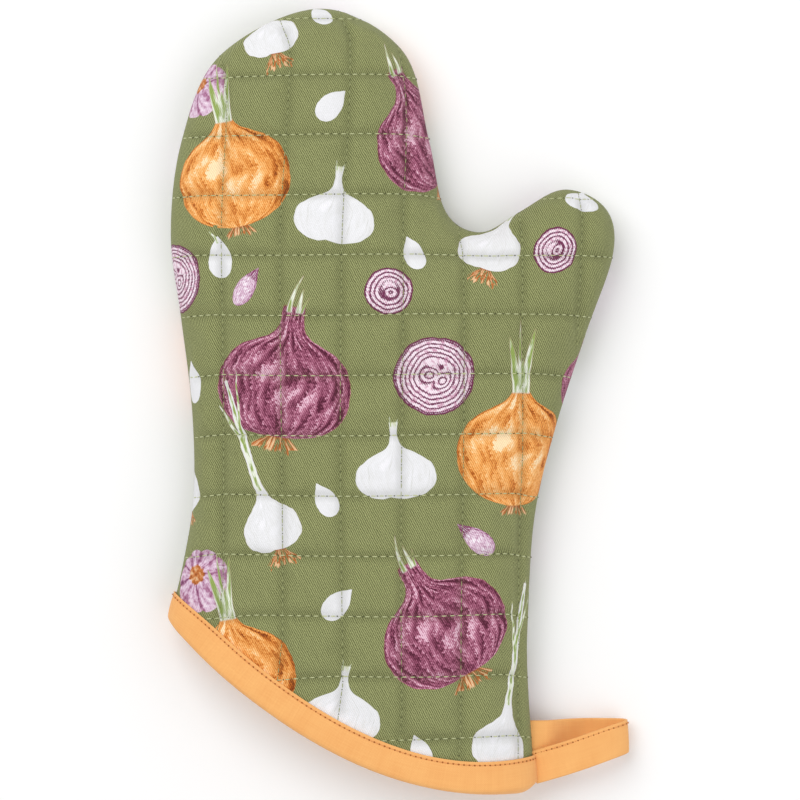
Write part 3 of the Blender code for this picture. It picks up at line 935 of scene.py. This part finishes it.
def reach_to(points, motif):
    """Distance in millimetres from the drawn body or stem, negative inside."""
    _, tall, stem = KINDS[motif[0]]
    half = motif[4]
    local = motif_places(points, motif)
    body = (np.hypot(local[:, 0], local[:, 1] / tall) - 1) * min(1, tall)
    up = np.clip(local[:, 1], -tall - 0.3, max(stem, 0.1))
    stalk = np.hypot(local[:, 0], local[:, 1] - up) - STALK * min(1.0, WIDEST_STALK / half)
    return np.minimum(body, stalk) * half


def lay_print(piece, materials, shift=(0.0, 0.0)):
    """Gives each face its drawing's material, and the UV maps called print and under."""
    mesh = piece.data
    cloth = np.empty(len(mesh.loops) * 2, np.float32)
    mesh.uv_layers["cloth"].uv.foreach_get("vector", cloth)
    cloth = cloth.reshape(-1, 2).astype(float)
    starts = np.array([face.loop_start for face in mesh.polygons])
    counts = np.array([face.loop_total for face in mesh.polygons])
    middles = np.add.reduceat(cloth, starts, axis=0) / counts[:, None]
    motifs = all_motifs(shift)
    reaches = np.stack([reach_to(middles, motif) for motif in motifs], axis=1)
    first, second = reaches.argsort(axis=1)[:, :2].T
    rows = np.arange(len(reaches))
    drawn = reaches[rows, first] < NEAR
    both = reaches[rows, second] < NEAR
    kinds = np.array([list(KINDS).index(motif[0]) for motif in motifs])
    top, under = first.copy(), second.copy()
    slots = np.where(drawn, 1 + kinds[first], 0)
    for index, (upper, lower) in enumerate(OVER):
        upper, lower = list(KINDS).index(upper), list(KINDS).index(lower)
        for here, there in ((first, second), (second, first)):
            pair = both & (kinds[here] == upper) & (kinds[there] == lower)
            top[pair], under[pair] = here[pair], there[pair]
            slots[pair] = 1 + len(KINDS) + index
    for material in materials:
        mesh.materials.append(material)
    mesh.polygons.foreach_set("material_index", slots.astype(np.int32))
    for label, owner in (("print", top), ("under", under)):
        owner = np.repeat(owner, counts)
        places = np.zeros_like(cloth)
        for index in np.unique(owner):
            mine = owner == index
            places[mine] = motif_places(cloth[mine], motifs[index])
        mesh.uv_layers.new(name=label).uv.foreach_set("vector", places.astype(np.float32).ravel())
    print(piece.name, "shows", len(set(first[drawn])), "drawings on", int(drawn.sum()), "faces,",
          int((slots > len(KINDS)).sum()), "of them overlapping")


# %% [markdown]
# ## Printed twill
#
# The olive is the cloth's ground and the drawings are inks over it. The same weave shows through
# both, less under the pale inks, which cover more: its dark grooves are painted shade, mixed with
# the yarn's own uneven tone. Along the quilting lines the colour is darkened too, as painted shade
# where the sunk cloth lies. The fibres catch light at grazing angles, so the cloth has a little
# sheen.

# %% Cloth materials
# The olive's tone on the rib crowns, and its dark tone: painted shade in the grooves and also the dye's
# own darker patches.
OLIVE_LIGHT = ink(174, 179, 122)
OLIVE_DARK = ink(62, 65, 31)
# How much of the weave's painted groove shade and yarn tone shows through each kind of ink.
INK_DEPTH = {"garlic": 0.06, "stem_garlic": 0.06, "clove": 0.06, "stemmed_clove": 0.06, "slice": 0.2,
             "small_slice": 0.2, "head": 0.2}


def principled(name, roughness, sheen):
    material = bpy.data.materials.new(name)
    material.use_nodes = True
    shader = material.node_tree.nodes["Principled BSDF"]
    shader.inputs["Roughness"].default_value = roughness
    shader.inputs["Sheen Weight"].default_value = sheen
    shader.inputs["Sheen Roughness"].default_value = 0.6
    shader.inputs["Specular IOR Level"].default_value = 0.2
    return material, Recipe(material.node_tree), shader


def uv(recipe, name):
    return recipe.get("ShaderNodeUVMap", uv_map=name)


def dress(recipe, shader, colour, height, strength, depth):
    """Joins a colour and a bump to the shader; depth in millimetres."""
    bump = recipe.get("ShaderNodeBump",
                      {"Strength": strength, "Distance": depth * MM, "Height": height})
    recipe.feed(shader.inputs["Base Color"], colour)
    recipe.feed(shader.inputs["Normal"], bump)


def printed_twill(name, *kinds):
    """Olive twill with no drawing, one, or one under another (given last, so on top)."""
    material, recipe, shader = principled(name, 0.88, 0.06)
    cloth = uv(recipe, "cloth")
    weave = use(recipe, TWILL, Cloth=cloth)
    dye = recipe.noise(cloth, 0.05, 3.0)
    # Ground: painted groove shade and yarn tone from the weave, then the dye's own uneven patches.
    ground = recipe.mix(weave["Light"], OLIVE_DARK, OLIVE_LIGHT)
    ground = recipe.mix(dye * 0.12, ground, OLIVE_DARK)
    for kind, place in zip(kinds, ("under", "print")[-len(kinds):]):
        made = use(recipe, KINDS[kind][0], Place=uv(recipe, place), Grain=weave["Light"])
        depth = INK_DEPTH.get(kind, 0.34)
        # The weave's painted groove shade and yarn tone darken the ink, less under the pale inks.
        thread = 1.0 - depth * 0.6 + weave["Light"] * depth
        grey = recipe.get("ShaderNodeCombineColor", {0: thread, 1: thread, 2: thread})
        over = recipe.mix(1.0, made["Ink"], grey, "MULTIPLY")
        ground = recipe.mix(made["Cover"], ground, over)
    # Painted shade along the quilting lines: the crease attribute darkens the cloth towards a deep olive.
    crease = recipe.get("ShaderNodeAttribute", output="Fac", attribute_name="crease")
    dress(recipe, shader, recipe.mix(crease * 0.26, ground, ink(60, 62, 34)), weave["Height"], 0.6, 0.16)
    return material


TWILL_MATERIALS = [printed_twill("olive_ground")]
TWILL_MATERIALS += [printed_twill("printed_" + kind, kind) for kind in KINDS]
TWILL_MATERIALS += [printed_twill(upper + "_over_" + lower, lower, upper) for upper, lower in OVER]
lay_print(back_cloth, TWILL_MATERIALS)
lay_print(palm_cloth, TWILL_MATERIALS, shift=(62.0, 38.0))

# %% [markdown]
# ## Wadding and lining
#
# Under the twill lies needled wadding, and under that the plain lining that a hand feels. Both
# are closed bodies made from the plan mesh, with the pinch of the quilting on each side. The
# lining shows in the mouth; the wadding stays hidden inside, so it takes the coarser mesh.

# %% Inner layers


def plain_cloth(name, groove, crown, thread=0.36, fuzz=0.0, sheen=0.1):
    """A plain weave in two tones of one colour, read from the piece's own cloth map. The groove tone is
    painted shade between the threads, mixed with the cloth's own cloudy tone.
    """
    material, recipe, shader = principled(name, 0.86, sheen)
    cloth = uv(recipe, "cloth")
    weave = use(recipe, PLAIN, Cloth=cloth, Thread=thread)
    cloudy = recipe.noise(cloth, 0.09, 4.0)
    tone = weave["Light"] + (cloudy - 0.5) * 0.5
    height = weave["Height"]
    if fuzz:
        height = recipe.mix(fuzz, height, recipe.noise(cloth, 1.1, 5.0))
    dress(recipe, shader, recipe.mix(tone, groove, crown), height, 0.45, 0.12)
    return material


LINING = plain_cloth("unbleached_lining", ink(196, 188, 166), ink(240, 235, 218), 0.5)
WADDING = plain_cloth("needled_wadding", ink(206, 204, 196), ink(246, 245, 240), 1.2, fuzz=0.85)


def padded_layer(name, panel, top, bottom, material):
    """A closed layer between two depths; each depth is (between lines, on a line)."""
    faces = turned(PLAN_FACES, panel)
    outer = skin(PLAN, top[0] + (top[1] - top[0]) * PINCH, panel)
    inner = skin(PLAN, bottom[0] + (bottom[1] - bottom[0]) * PINCH, panel)
    count = len(PLAN)
    edges = {(a, b) for face in faces for a, b in zip(face, face[1:] + face[:1])}
    walls = [(b, a, a + count, b + count) for a, b in sorted(edges) if (b, a) not in edges]
    shell = faces + [tuple(i + count for i in face[::-1]) for face in faces] + walls
    cloth = cloth_places(PLAN, panel)
    piece = new_piece(name, np.vstack([outer, inner]), shell, np.vstack([cloth, cloth]))
    piece.data.materials.append(material)
    return piece


inner_layers = {}
for side, panel in (("back", BACK), ("palm", PALM)):
    inner_layers[side + "_wadding"] = padded_layer(
        side + "_wadding_pad", panel, (1.7, 2.75), (4.3, 3.5), WADDING)
    inner_layers[side + "_lining"] = padded_layer(
        side + "_lining_cloth", panel, (4.7, 3.7), (5.15, 4.15), LINING)
print("inner layers:", ", ".join(inner_layers))

# %% [markdown]
# ## The cloth's thickness
#
# The simulated twill is a single surface so far. Solidify gives it half a millimetre inwards, so
# the shape is a closed wall.

# %% Twill thickness
TWILL_WALL = 0.5
surfaces = {}
for side, piece in (("back", back_cloth), ("palm", palm_cloth)):
    mesh = piece.data
    surfaces[side] = BVHTree.FromPolygons([v.co.copy() for v in mesh.vertices],
                                          [tuple(f.vertices) for f in mesh.polygons])
    finish_shape(piece, TWILL_WALL, offset=-1.0)
    print(piece.name, len(piece.data.polygons), "faces after thickening")

# %% [markdown]
# ## Stitches that follow a line
#
# A machine's lockstitch shows as a dash of thread, then a gap where it dives through a needle
# hole. One Geometry Nodes tree sews any line: it resamples the line at the stitch pitch, puts a
# small bead of thread along it and, half a pitch further on, a flat dark disc that is painted shade
# in the needle hole. The line carries its own up direction as an attribute, so stitches lie flat on
# the cloth. A turn angle makes the same tree sew the slanting threads of an overlocked edge.

# %% Stitch tree


def stitch_tree():
    tree = bpy.data.node_groups.new("stitches along a line", "GeometryNodeTree")
    tree.is_modifier = True
    for label, kind, default in (
            ("Geometry", "Geometry", None), ("Pitch", "Float", 0.0035), ("Length", "Float", 0.0024),
            ("Width", "Float", 0.0005), ("Rise", "Float", 0.0004), ("Turn", "Float", 0.0),
            ("Hole", "Float", 0.0008), ("Thread", "Material", None), ("Shadow", "Material", None)):
        made = tree.interface.new_socket(label, in_out="INPUT", socket_type="NodeSocket" + kind)
        if default is not None:
            made.default_value = default
    tree.interface.new_socket("Geometry", in_out="OUTPUT", socket_type="NodeSocketGeometry")
    recipe = Recipe(tree)
    given = recipe.every(recipe.add("NodeGroupInput"))
    line = recipe.get("GeometryNodeMeshToCurve", {"Mesh": given["Geometry"]})
    steps = recipe.get("GeometryNodeResampleCurve", {"Curve": line, "Length": given["Pitch"]},
                       mode="LENGTH")
    ahead = recipe.get("GeometryNodeInputTangent")
    up = recipe.get("GeometryNodeInputNamedAttribute", {"Name": "up"}, data_type="FLOAT_VECTOR")
    lay = recipe.get("FunctionNodeAxesToRotation", {0: ahead, 1: up}, primary_axis="X",
                     secondary_axis="Z")
    spin = recipe.get("FunctionNodeAxisAngleToRotation", {"Axis": (0, 0, 1), "Angle": given["Turn"]})
    turned_lay = recipe.get("FunctionNodeRotateRotation", {0: lay, 1: spin}, rotation_space="LOCAL")
    bead = recipe.get("GeometryNodeMeshUVSphere", {"Segments": 6, "Rings": 5, "Radius": 0.5})
    vary = recipe.get("FunctionNodeRandomValue", {0: (0.9, 0.9, 0.9), 1: (1.06, 1.12, 1.1), "Seed": 4},
                      data_type="FLOAT_VECTOR")

    def sew(points, size, material):
        grown = recipe.get("ShaderNodeVectorMath", {0: size, 1: vary}, operation="MULTIPLY")
        placed = recipe.get("GeometryNodeInstanceOnPoints", {
            "Points": points, "Instance": bead, "Rotation": turned_lay, "Scale": grown})
        real = recipe.get("GeometryNodeRealizeInstances", {0: placed})
        smooth = recipe.get("GeometryNodeSetShadeSmooth", {0: real})
        return recipe.get("GeometryNodeSetMaterial", {"Geometry": smooth, "Material": material})

    size = recipe.xyz(given["Length"], given["Width"], given["Rise"])
    threads = sew(steps, size, given["Thread"])
    half_on = recipe.get("ShaderNodeVectorMath", {0: ahead, "Scale": given["Pitch"] * 0.5},
                         operation="SCALE")
    shifted = recipe.get("GeometryNodeSetPosition", {"Geometry": steps, "Offset": half_on})
    # The holes are flat dark discs in the shadow material: painted shade where the thread dives into the
    # cloth.
    hole_size = recipe.xyz(given["Hole"], given["Hole"] * 0.8, 0.00012)
    hole_shades = sew(shifted, hole_size, given["Shadow"])
    both = recipe.add("GeometryNodeJoinGeometry")
    recipe.feed(both.inputs[0], threads)
    recipe.feed(both.inputs[0], hole_shades)
    recipe.add("NodeGroupOutput", {0: Value(recipe, both.outputs[0])})
    return tree


STITCHES = stitch_tree()


def sewn_line(name, runs, thread, shadow, pitch, length, width, rise=0.35, turn=0.0, hole=0.8):
    """Stitches along several runs; each run is (points, up directions), sizes in millimetres."""
    mesh = bpy.data.meshes.new(name)
    points = np.vstack([run[0] for run in runs])
    ups = np.vstack([run[1] for run in runs])
    edges, start = [], 0
    for run, _ in runs:
        edges += [(start + i, start + i + 1) for i in range(len(run) - 1)]
        start += len(run)
    mesh.from_pydata([tuple(p) for p in points * MM], edges, [])
    mesh.attributes.new("up", "FLOAT_VECTOR", "POINT").data.foreach_set(
        "vector", ups.astype(np.float32).ravel())
    piece = bpy.data.objects.new(name, mesh)
    scene.collection.objects.link(piece)
    sewing = piece.modifiers.new("stitches", "NODES")
    sewing.node_group = STITCHES
    sizes = {"Pitch": pitch * MM, "Length": length * MM, "Width": width * MM, "Rise": rise * MM,
             "Turn": turn, "Hole": hole * MM, "Thread": thread, "Shadow": shadow}
    for item in STITCHES.interface.items_tree:
        if item.in_out == "INPUT" and item.name in sizes:
            sewing[item.identifier] = sizes[item.name]
    apply_modifiers(piece)
    print(name, len(piece.data.polygons), "faces")
    return piece


# %% [markdown]
# ## Thread
#
# Sewing thread is two or three twisted strands with a soft shine. Each stitch is so small that a
# slight change of tone from stitch to stitch says more than the twist does.

# %% Thread materials


def thread_material(name, dark, light, sheen=0.2):
    material, recipe, shader = principled(name, 0.62, sheen)
    place = recipe.get("ShaderNodeTexCoord", output="Object")
    twist = recipe.noise(place, 2600.0)
    tone = recipe.noise(place, 160.0, 1.0)
    dress(recipe, shader, recipe.mix(twist * 0.6 + tone * 0.4, dark, light), twist, 0.5, 0.08)
    return material


GREEN_THREAD = thread_material("green_thread", ink(160, 166, 116), ink(212, 216, 170))
ORANGE_THREAD = thread_material("orange_thread", ink(214, 138, 70), ink(240, 168, 98))
CREAM_THREAD = thread_material("cream_thread", ink(206, 200, 182), ink(244, 241, 228))
DULL_THREAD = thread_material("dull_green_thread", ink(124, 130, 82), ink(172, 177, 124))
# Needle-hole materials are painted shade: the darkness of the holes the thread dives into.
GREEN_HOLE_SHADE = thread_material("green_needle_hole_shade", ink(70, 74, 44), ink(92, 96, 60), 0.0)
ORANGE_HOLE_SHADE = thread_material("orange_needle_hole_shade", ink(140, 70, 24), ink(186, 106, 46), 0.0)
CREAM_HOLE_SHADE = thread_material("cream_needle_hole_shade", ink(150, 144, 124), ink(170, 164, 144), 0.0)

# %% [markdown]
# ## Quilting
#
# The rows and columns lean and sway with the cloth, as the plan's mesh does. Each is cut to the
# part that lies inside the seam and clear of the tape, carried to the panel, and dropped on to the
# simulated cloth.

# %% Quilting stitches
QUILT_STITCH = {"pitch": 3.5, "length": 2.5}
QUILT_THREADS = (  # name, thread, its width and the hole's
    ("rows", GREEN_THREAD, 0.5, 0.75), ("columns", DULL_THREAD, 0.38, 0.6))
ON_TWILL, ON_LINING = 1.5, 4.22
SEWING_STEPS = np.linspace(-170, 170, 680)
SHORTEST_LINE, SHORTEST_PART = 20, 12  # in steps
CLEAR_OF_SEAM, CLEAR_OF_TAPE = 0.7, 0.4


def quilting_runs(panel, axis, surface, depth, lift):
    """Runs of points on the cloth along the rows (axis 0) or the columns (axis 1)."""
    ring = np.vstack([SEAM, CUFF[::-1]])
    first = (QUILT_ROW, QUILT_COLUMN)[axis]
    runs = []
    for place in np.arange(-7, 8) * QUILT_PITCH + first:
        line = np.empty((len(SEWING_STEPS), 2))
        line[:, axis] = SEWING_STEPS
        line[:, 1 - axis] = place
        straight, line = line, line + drift(line)
        good = inside(line, ring) & (distance_to(SEAM, line) > CLEAR_OF_SEAM)
        good &= distance_to(CUFF, line) > TAPE_WIDTH + CLEAR_OF_TAPE
        line, steps = line[good], straight[good, axis]
        if len(line) < SHORTEST_LINE:
            continue
        for part in np.split(line, np.flatnonzero(np.diff(steps) > 1) + 1):
            if len(part) < SHORTEST_PART:
                continue
            solid = skin(part, depth, panel)
            ups = skin(part, depth - 1, panel) - solid
            if surface:
                feet = [surface.find_nearest(Vector(p * MM)) for p in solid]
                solid = np.array([foot[0] for foot in feet]) / MM
            runs.append((solid + ups * lift, ups))
    return runs


quilting = {}
for side, panel in (("back", BACK), ("palm", PALM)):
    for axis, (word, thread, width, hole) in enumerate(QUILT_THREADS):
        name = f"{side}_quilting_{word}"
        runs = quilting_runs(panel, axis, surfaces[side], ON_TWILL, 0.06)
        inner = [(points, -ups) for points, ups in quilting_runs(panel, axis, None, ON_LINING, 0.0)]
        quilting[name] = (
            sewn_line(name + "_stitches", runs, thread, GREEN_HOLE_SHADE, width=width, rise=width * 0.8,
                      hole=hole, **QUILT_STITCH),
            sewn_line(name + "_inside", inner, CREAM_THREAD, CREAM_HOLE_SHADE, width=0.5, rise=0.4,
                      **QUILT_STITCH))

# %% [markdown]
# ## Binding
#
# The raw edges of all three layers end at the mouth, and a strip of orange cotton is folded round
# them. Its section is a long U. The ring runs along the back panel's cuff, round the seam and home
# along the palm's. Where the topstitching holds it the tape sinks a little, and between stitches
# it stands up in small irregular waves.

# %% Binding
TAPE = 0.8
TAPE_GAP = 0.35
TAPE_CORNER = 25.0
WALL = 5.2
TOPSTITCH_AT = TAPE_WIDTH - 1.3
TOPSTITCH = {"pitch": 2.3, "length": 1.3}
FOLD_WIDTH = 3.0
CORNER_PULL, CORNER_REACH = 0.9, 6.0


def tape_direction(t):
    """Directions across the tape: along the seam at the corners, square to the cuff between."""
    place, square = cuff_curve(t)
    start, end = SEAM[5] - SEAM[0], SEAM[-6] - SEAM[-1]
    made = []
    for p, s in zip(place, square):
        for corner, way in ((SEAM[0], start), (SEAM[-1], end)):
            share = max(0.0, 1 - np.linalg.norm(p - corner) / TAPE_CORNER)
            s = s + (way / np.linalg.norm(way) - s) * share * share * (3 - 2 * share)
        made.append(s / np.linalg.norm(s))
    return place, np.array(made)


RING_STEPS = np.concatenate([[0, 0.002, 0.006], np.linspace(0.012, 0.988, 118), [0.994, 0.998, 1]])


def mouth_ring(width, depth, ripple=0.0):
    """A closed ring round the mouth, width in from the cuff's edge, at a depth."""
    place, way = tape_direction(RING_STEPS)
    corner = np.minimum(np.linalg.norm(place - SEAM[0], axis=1),
                        np.linalg.norm(place - SEAM[-1], axis=1))
    if width < FOLD_WIDTH:  # the fold is pulled in where the tape meets the seam
        width = (width + CORNER_PULL * np.clip(1 - corner / CORNER_REACH, 0, 1)**2)[:, None]
    both = []
    for panel in (BACK, PALM):
        wave = np.array([noise.noise(Vector((p[0] * 0.16, p[1] * 0.16, panel["side"] * 5.0)))
                         for p in place]) * ripple
        both.append(skin(place + way * width, depth - wave, panel))
    back, palm = both
    back[[0, -1], 2] = SEAM_HEIGHT
    return np.vstack([back, palm[-2:0:-1]])


def loft_faces(count, across, ring=False, tube=False):
    """Quads between count rows of across points; a ring closes on itself, a tube has no edges."""
    return [(i * across + j, (i + 1) % count * across + j,
             (i + 1) % count * across + (j + 1) % across, i * across + (j + 1) % across)
            for i in range(count - (not ring)) for j in range(across - (not tube))]


def cloth_grid(run, fold):
    """The flat cloth's coordinates for a loft: along its run and across its fold."""
    return np.stack(np.meshgrid(run, fold, indexing="ij"), axis=2).reshape(-1, 2)


def cuff_binding():
    """The tape's section carried round the mouth."""
    out = TAPE_GAP + TAPE / 2
    section = [  # in from the cuff's edge, depth below the panel's outside
        (12.2, -out + 0.1), (11.9, -out), (10.7, -out + 0.3), (9.0, -out - 0.1), (5.5, -out - 0.15),
        (2.0, -out - 0.1), (0.4, -out), (-0.45, -0.1), (-0.75, WALL * 0.3), (-0.75, WALL * 0.7),
        (-0.45, WALL + 0.1), (0.4, WALL + out), (2.0, WALL + out), (5.5, WALL + out),
        (9.0, WALL + out), (11.6, WALL + out)]
    rings = np.stack([mouth_ring(width, depth, 0.3 if FOLD_WIDTH < width < 9 else 0.05)
                      for width, depth in section], axis=1)
    run = np.cumsum(np.linalg.norm(rings[:, 4] - np.roll(rings[:, 4], 1, axis=0), axis=1))
    fold = np.cumsum(np.linalg.norm(np.diff(rings[30], axis=0, prepend=rings[30][:1]), axis=1))
    piece = new_piece("cuff_binding_tape", rings.reshape(-1, 3), loft_faces(*rings.shape[:2], ring=True),
                      cloth_grid(run, fold))
    mesh = piece.data
    middle = rings.reshape(-1, 3).mean(axis=0) * MM
    face = mesh.polygons[4]
    if face.normal.dot(face.center - Vector(middle)) < 0:
        mesh.flip_normals()
    finish_shape(piece, TAPE, smooth=True)
    return piece


ORANGE_TAPE = plain_cloth("orange_tape", ink(227, 152, 84), ink(250, 193, 121), 0.4)
binding = cuff_binding()
binding.data.materials.append(ORANGE_TAPE)
line = mouth_ring(TOPSTITCH_AT, -1.1)
above = mouth_ring(TOPSTITCH_AT, -2.1) - line
line, above = np.vstack([line, line[:1]]), np.vstack([above, above[:1]])
inside_line = mouth_ring(TOPSTITCH_AT, WALL + TAPE_GAP + TAPE)
inside_up = mouth_ring(TOPSTITCH_AT, WALL + TAPE_GAP + TAPE + 1) - inside_line
cuff_stitches = sewn_line("cuff_topstitching", [(line, above), (inside_line, inside_up)],
                          ORANGE_THREAD, ORANGE_HOLE_SHADE, width=0.5, rise=0.4, hole=0.95, **TOPSTITCH)
print("binding:", len(binding.data.polygons), "faces")

# %% [markdown]
# ## Hanging loop
#
# The loop is the same tape folded in half along its length and stitched shut near its open edge.
# It leaves the side seam flat, turns back on itself and comes home just behind. It is lofted as
# rows across a smooth path; a groove beside one edge shows the two folded layers.

# %% Loop
# Points down the middle of the loop: x, y, z and its turn from +Y.
LOOP_PATH = [
    (56.6, -156.7, 14.2, 16.0), (60.4, -155.6, 14.8, 16.0), (64.4, -154.4, 15.2, 16.0),
    (71.0, -152.4, 15.6, 16.0), (80.2, -149.3, 15.6, 15.0), (90.2, -145.9, 13.6, 9.0),
    (96.0, -144.2, 10.4, 4.0), (97.4, -143.7, 7.0, 2.0), (95.6, -143.6, 3.7, 0.0),
    (90.2, -143.6, 1.6, 0.0), (80.2, -143.6, 1.5, 0.0), (72.2, -143.6, 4.8, 0.0),
    (66.2, -143.6, 10.2, 0.0), (62.8, -143.6, 12.4, 0.0), (58.8, -143.6, 13.1, 0.0),
    (55.4, -143.6, 12.9, 0.0),
]
LOOP_WIDTH = 13.8
LOOP_WALL = 1.3
LOOP_STITCH_AT = LOOP_WIDTH / 2 - 1.3


def loop_frames():
    """Smooth points along the loop, the directions across it and off its outer face."""
    path = smooth_curve(LOOP_PATH, 7)
    turn = np.radians(path[:, 3])
    across = np.column_stack([-np.sin(turn), np.cos(turn), np.zeros(len(turn))])
    outward = np.cross(np.gradient(path[:, :3], axis=0), across)
    return path[:, :3], across, outward / np.linalg.norm(outward, axis=1)[:, None]


def hanging_loop():
    """Rows along the path, one for each point of the tape's section."""
    path, across, outward = loop_frames()
    half = LOOP_WIDTH / 2
    section = [  # along the width, lift off the middle surface
        (half, -0.25), (half - 0.35, 0.0), (LOOP_STITCH_AT, -0.12), (half - 2.3, 0.02), (half - 4.5, 0.1),
        (0.0, 0.16), (-half * 0.6, 0.12), (-half + 0.5, 0.0), (-half, -0.2)]
    rows = []
    for shift, lift in section:
        wave = [noise.noise(Vector(p * 0.12) + Vector((0, shift * 0.05, 0))) for p in path]
        rows.append(path + across * shift + outward * (lift + np.array(wave) * 0.35)[:, None])
    rows = np.stack(rows, axis=1)
    run = np.concatenate([[0], np.cumsum(np.linalg.norm(np.diff(path, axis=0), axis=1))])
    piece = new_piece("hanging_loop_tape", rows.reshape(-1, 3), loft_faces(*rows.shape[:2]),
                      cloth_grid(run, [shift for shift, _ in section]))
    if piece.data.polygons[len(section) * 8].normal.z < 0:
        piece.data.flip_normals()
    finish_shape(piece, LOOP_WALL, smooth=True)
    piece.data.materials.append(ORANGE_TAPE)
    return piece


loop = hanging_loop()
path, across, outward = loop_frames()
loop_line = path + across * LOOP_STITCH_AT + outward * (LOOP_WALL / 2 + 0.1)
loop_stitches = sewn_line("loop_topstitching", [(loop_line[4:-4], outward[4:-4])], ORANGE_THREAD,
                          ORANGE_HOLE_SHADE, width=0.45, hole=0.9, **TOPSTITCH)
print("loop:", len(loop.data.polygons), "faces")

# %% [markdown]
# ## The seam inside
#
# Looking into the mouth, the six raw edges of the two panels run round the inside, pressed
# together, sewn by one line and overlocked. The strip wanders a little, as a trimmed edge does,
# and the overlocking's threads slant across its inner edge.

# %% Seam allowance
ALLOWANCE = (6.3, 11.0)


def inner_seam(distance):
    inward = seam_inward(SEAM)
    clear = distance_to(CUFF, SEAM + inward * ALLOWANCE[1]) > TAPE_WIDTH + 3
    return (SEAM + inward * distance)[clear]


def strip_line(distance, lift):
    """A line along the strip, which sways up and down a little."""
    line = inner_seam(distance)
    sway = np.array([noise.noise(Vector((x * 0.05, y * 0.05, 3.0))) for x, y in line]) * 0.5
    return np.column_stack([line, SEAM_HEIGHT + lift + sway])


def seam_strip():
    """The pressed edges as one flat tube."""
    section = [(ALLOWANCE[0] + (ALLOWANCE[1] - ALLOWANCE[0]) * share, thick) for share, thick in
               ((0, 0.5), (0.1, 1.0), (0.5, 1.15), (0.85, 0.95), (1, 0.7))]
    top = [strip_line(distance, thick) for distance, thick in section]
    low = [strip_line(distance, -thick) for distance, thick in section[::-1]]
    ring = np.stack(top + low, axis=1)
    count, around = ring.shape[:2]
    ends = [tuple(range(around)), tuple((count - 1) * around + j for j in range(around))[::-1]]
    piece = new_piece("seam_allowance_strip", ring.reshape(-1, 3),
                      loft_faces(count, around, tube=True) + ends,
                      cloth_grid(np.arange(count) * 3.0, np.arange(around) * 1.2))
    shape = bmesh.new()
    shape.from_mesh(piece.data)
    bmesh.ops.recalc_face_normals(shape, faces=shape.faces[:])
    shape.to_mesh(piece.data)
    shape.free()
    piece.data.materials.append(
        plain_cloth("twill_wrong_side", ink(150, 150, 112), ink(196, 196, 160), 0.7))
    return piece


def strip_run(distance, lift):
    """A line to sew on the strip's top, or underneath for a negative lift."""
    line = strip_line(distance, lift)
    return line, np.tile((0.0, 0.0, math.copysign(1.0, lift)), (len(line), 1))


allowance = seam_strip()
seam_line = sewn_line("side_seam_stitching", [strip_run(7.4, 1.18)], CREAM_THREAD, CREAM_HOLE_SHADE,
                      pitch=2.6, length=1.9, width=0.5)
overlock = sewn_line("seam_overlocking", [strip_run(10.9, 0.95), strip_run(10.9, -0.95)], CREAM_THREAD,
                     CREAM_HOLE_SHADE, pitch=1.3, length=3.4, width=0.42, turn=1.2, hole=0.3)

# %% [markdown]
# ## What stands for what
#
# Each finished piece but the loop rides on the body that carries it and replaces the imported
# model's solids. The loop's root is caught in the seam; the loop and its stitching keep their
# place in the scene and replace the loop's solids.

# %% Bodies and replaced solids


def attach(piece, body, slot, *nodes):
    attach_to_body(piece, body)
    if nodes:
        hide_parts(*nodes)


for side, piece in (("back", back_cloth), ("palm", palm_cloth)):
    attach(piece, "mitt", "printed_twill", side + "_shell")
    wadding, lining = inner_layers[side + "_wadding"], inner_layers[side + "_lining"]
    attach(wadding, "mitt", "wadding", side + "_wadding")
    attach(lining, "mitt", "lining", side + "_lining")
for node, pieces in quilting.items():
    for piece in pieces:
        attach(piece, "mitt", "thread", node)
attach(binding, "mitt", "binding_tape", "cuff_binding")
attach(cuff_stitches, "mitt", "binding_tape", "cuff_topstitch")
attach(allowance, "mitt", "printed_twill", "seam_allowance")
attach(seam_line, "mitt", "thread", "seam_stitching")
attach(overlock, "mitt", "thread", "seam_overlock")
for piece, node in ((loop, "hanging_loop"), (loop_stitches, "loop_topstitch")):
    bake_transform(piece)
    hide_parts(node)
print("pieces attached")

# %% [markdown]
# ## Studio
#
# The mitt lies on a pale floor under a large soft light, and the camera looks straight down from
# far off, so the outline is nearly flat.

# %% Floor, lights and camera


def floor():
    mesh = bpy.data.meshes.new("floor")
    mesh.from_pydata([(-2, -2, 0), (2, -2, 0), (2, 2, 0), (-2, 2, 0)], [], [(0, 1, 2, 3)])
    made = bpy.data.objects.new("floor", mesh)
    scene.collection.objects.link(made)
    material = bpy.data.materials.new("pale_floor")
    material.use_nodes = True
    shader = material.node_tree.nodes["Principled BSDF"]
    shader.inputs["Base Color"].default_value = (0.93, 0.93, 0.93, 1)
    shader.inputs["Roughness"].default_value = 0.9
    mesh.materials.append(material)


def soft_light(name, place, size, watts):
    lamp = bpy.data.lights.new(name, "AREA")
    lamp.size, lamp.energy = size, watts
    made = bpy.data.objects.new(name, lamp)
    made.location = place
    made.rotation_euler = (-Vector(place)).to_track_quat("-Z", "Y").to_euler()
    scene.collection.objects.link(made)


floor()
soft_light("key", (-0.6, 0.7, 1.3), 1.3, 14.0)
soft_light("fill", (0.9, -0.5, 1.1), 1.5, 7.0)
world = bpy.data.worlds.new("studio")
world.use_nodes = True
world.node_tree.nodes["Background"].inputs[0].default_value = (1, 1, 1, 1)
world.node_tree.nodes["Background"].inputs[1].default_value = 0.58
scene.world = world
scene.view_settings.view_transform = "Standard"

lens = bpy.data.cameras.new("camera")
lens.lens = 168.0
lens.clip_start = 0.05
eye = bpy.data.objects.new("camera", lens)
eye.location = (0.0005, -0.0004, 1.6)
scene.collection.objects.link(eye)
scene.camera = eye
print("camera at", tuple(round(v, 3) for v in eye.location), "with a", lens.lens, "mm lens")
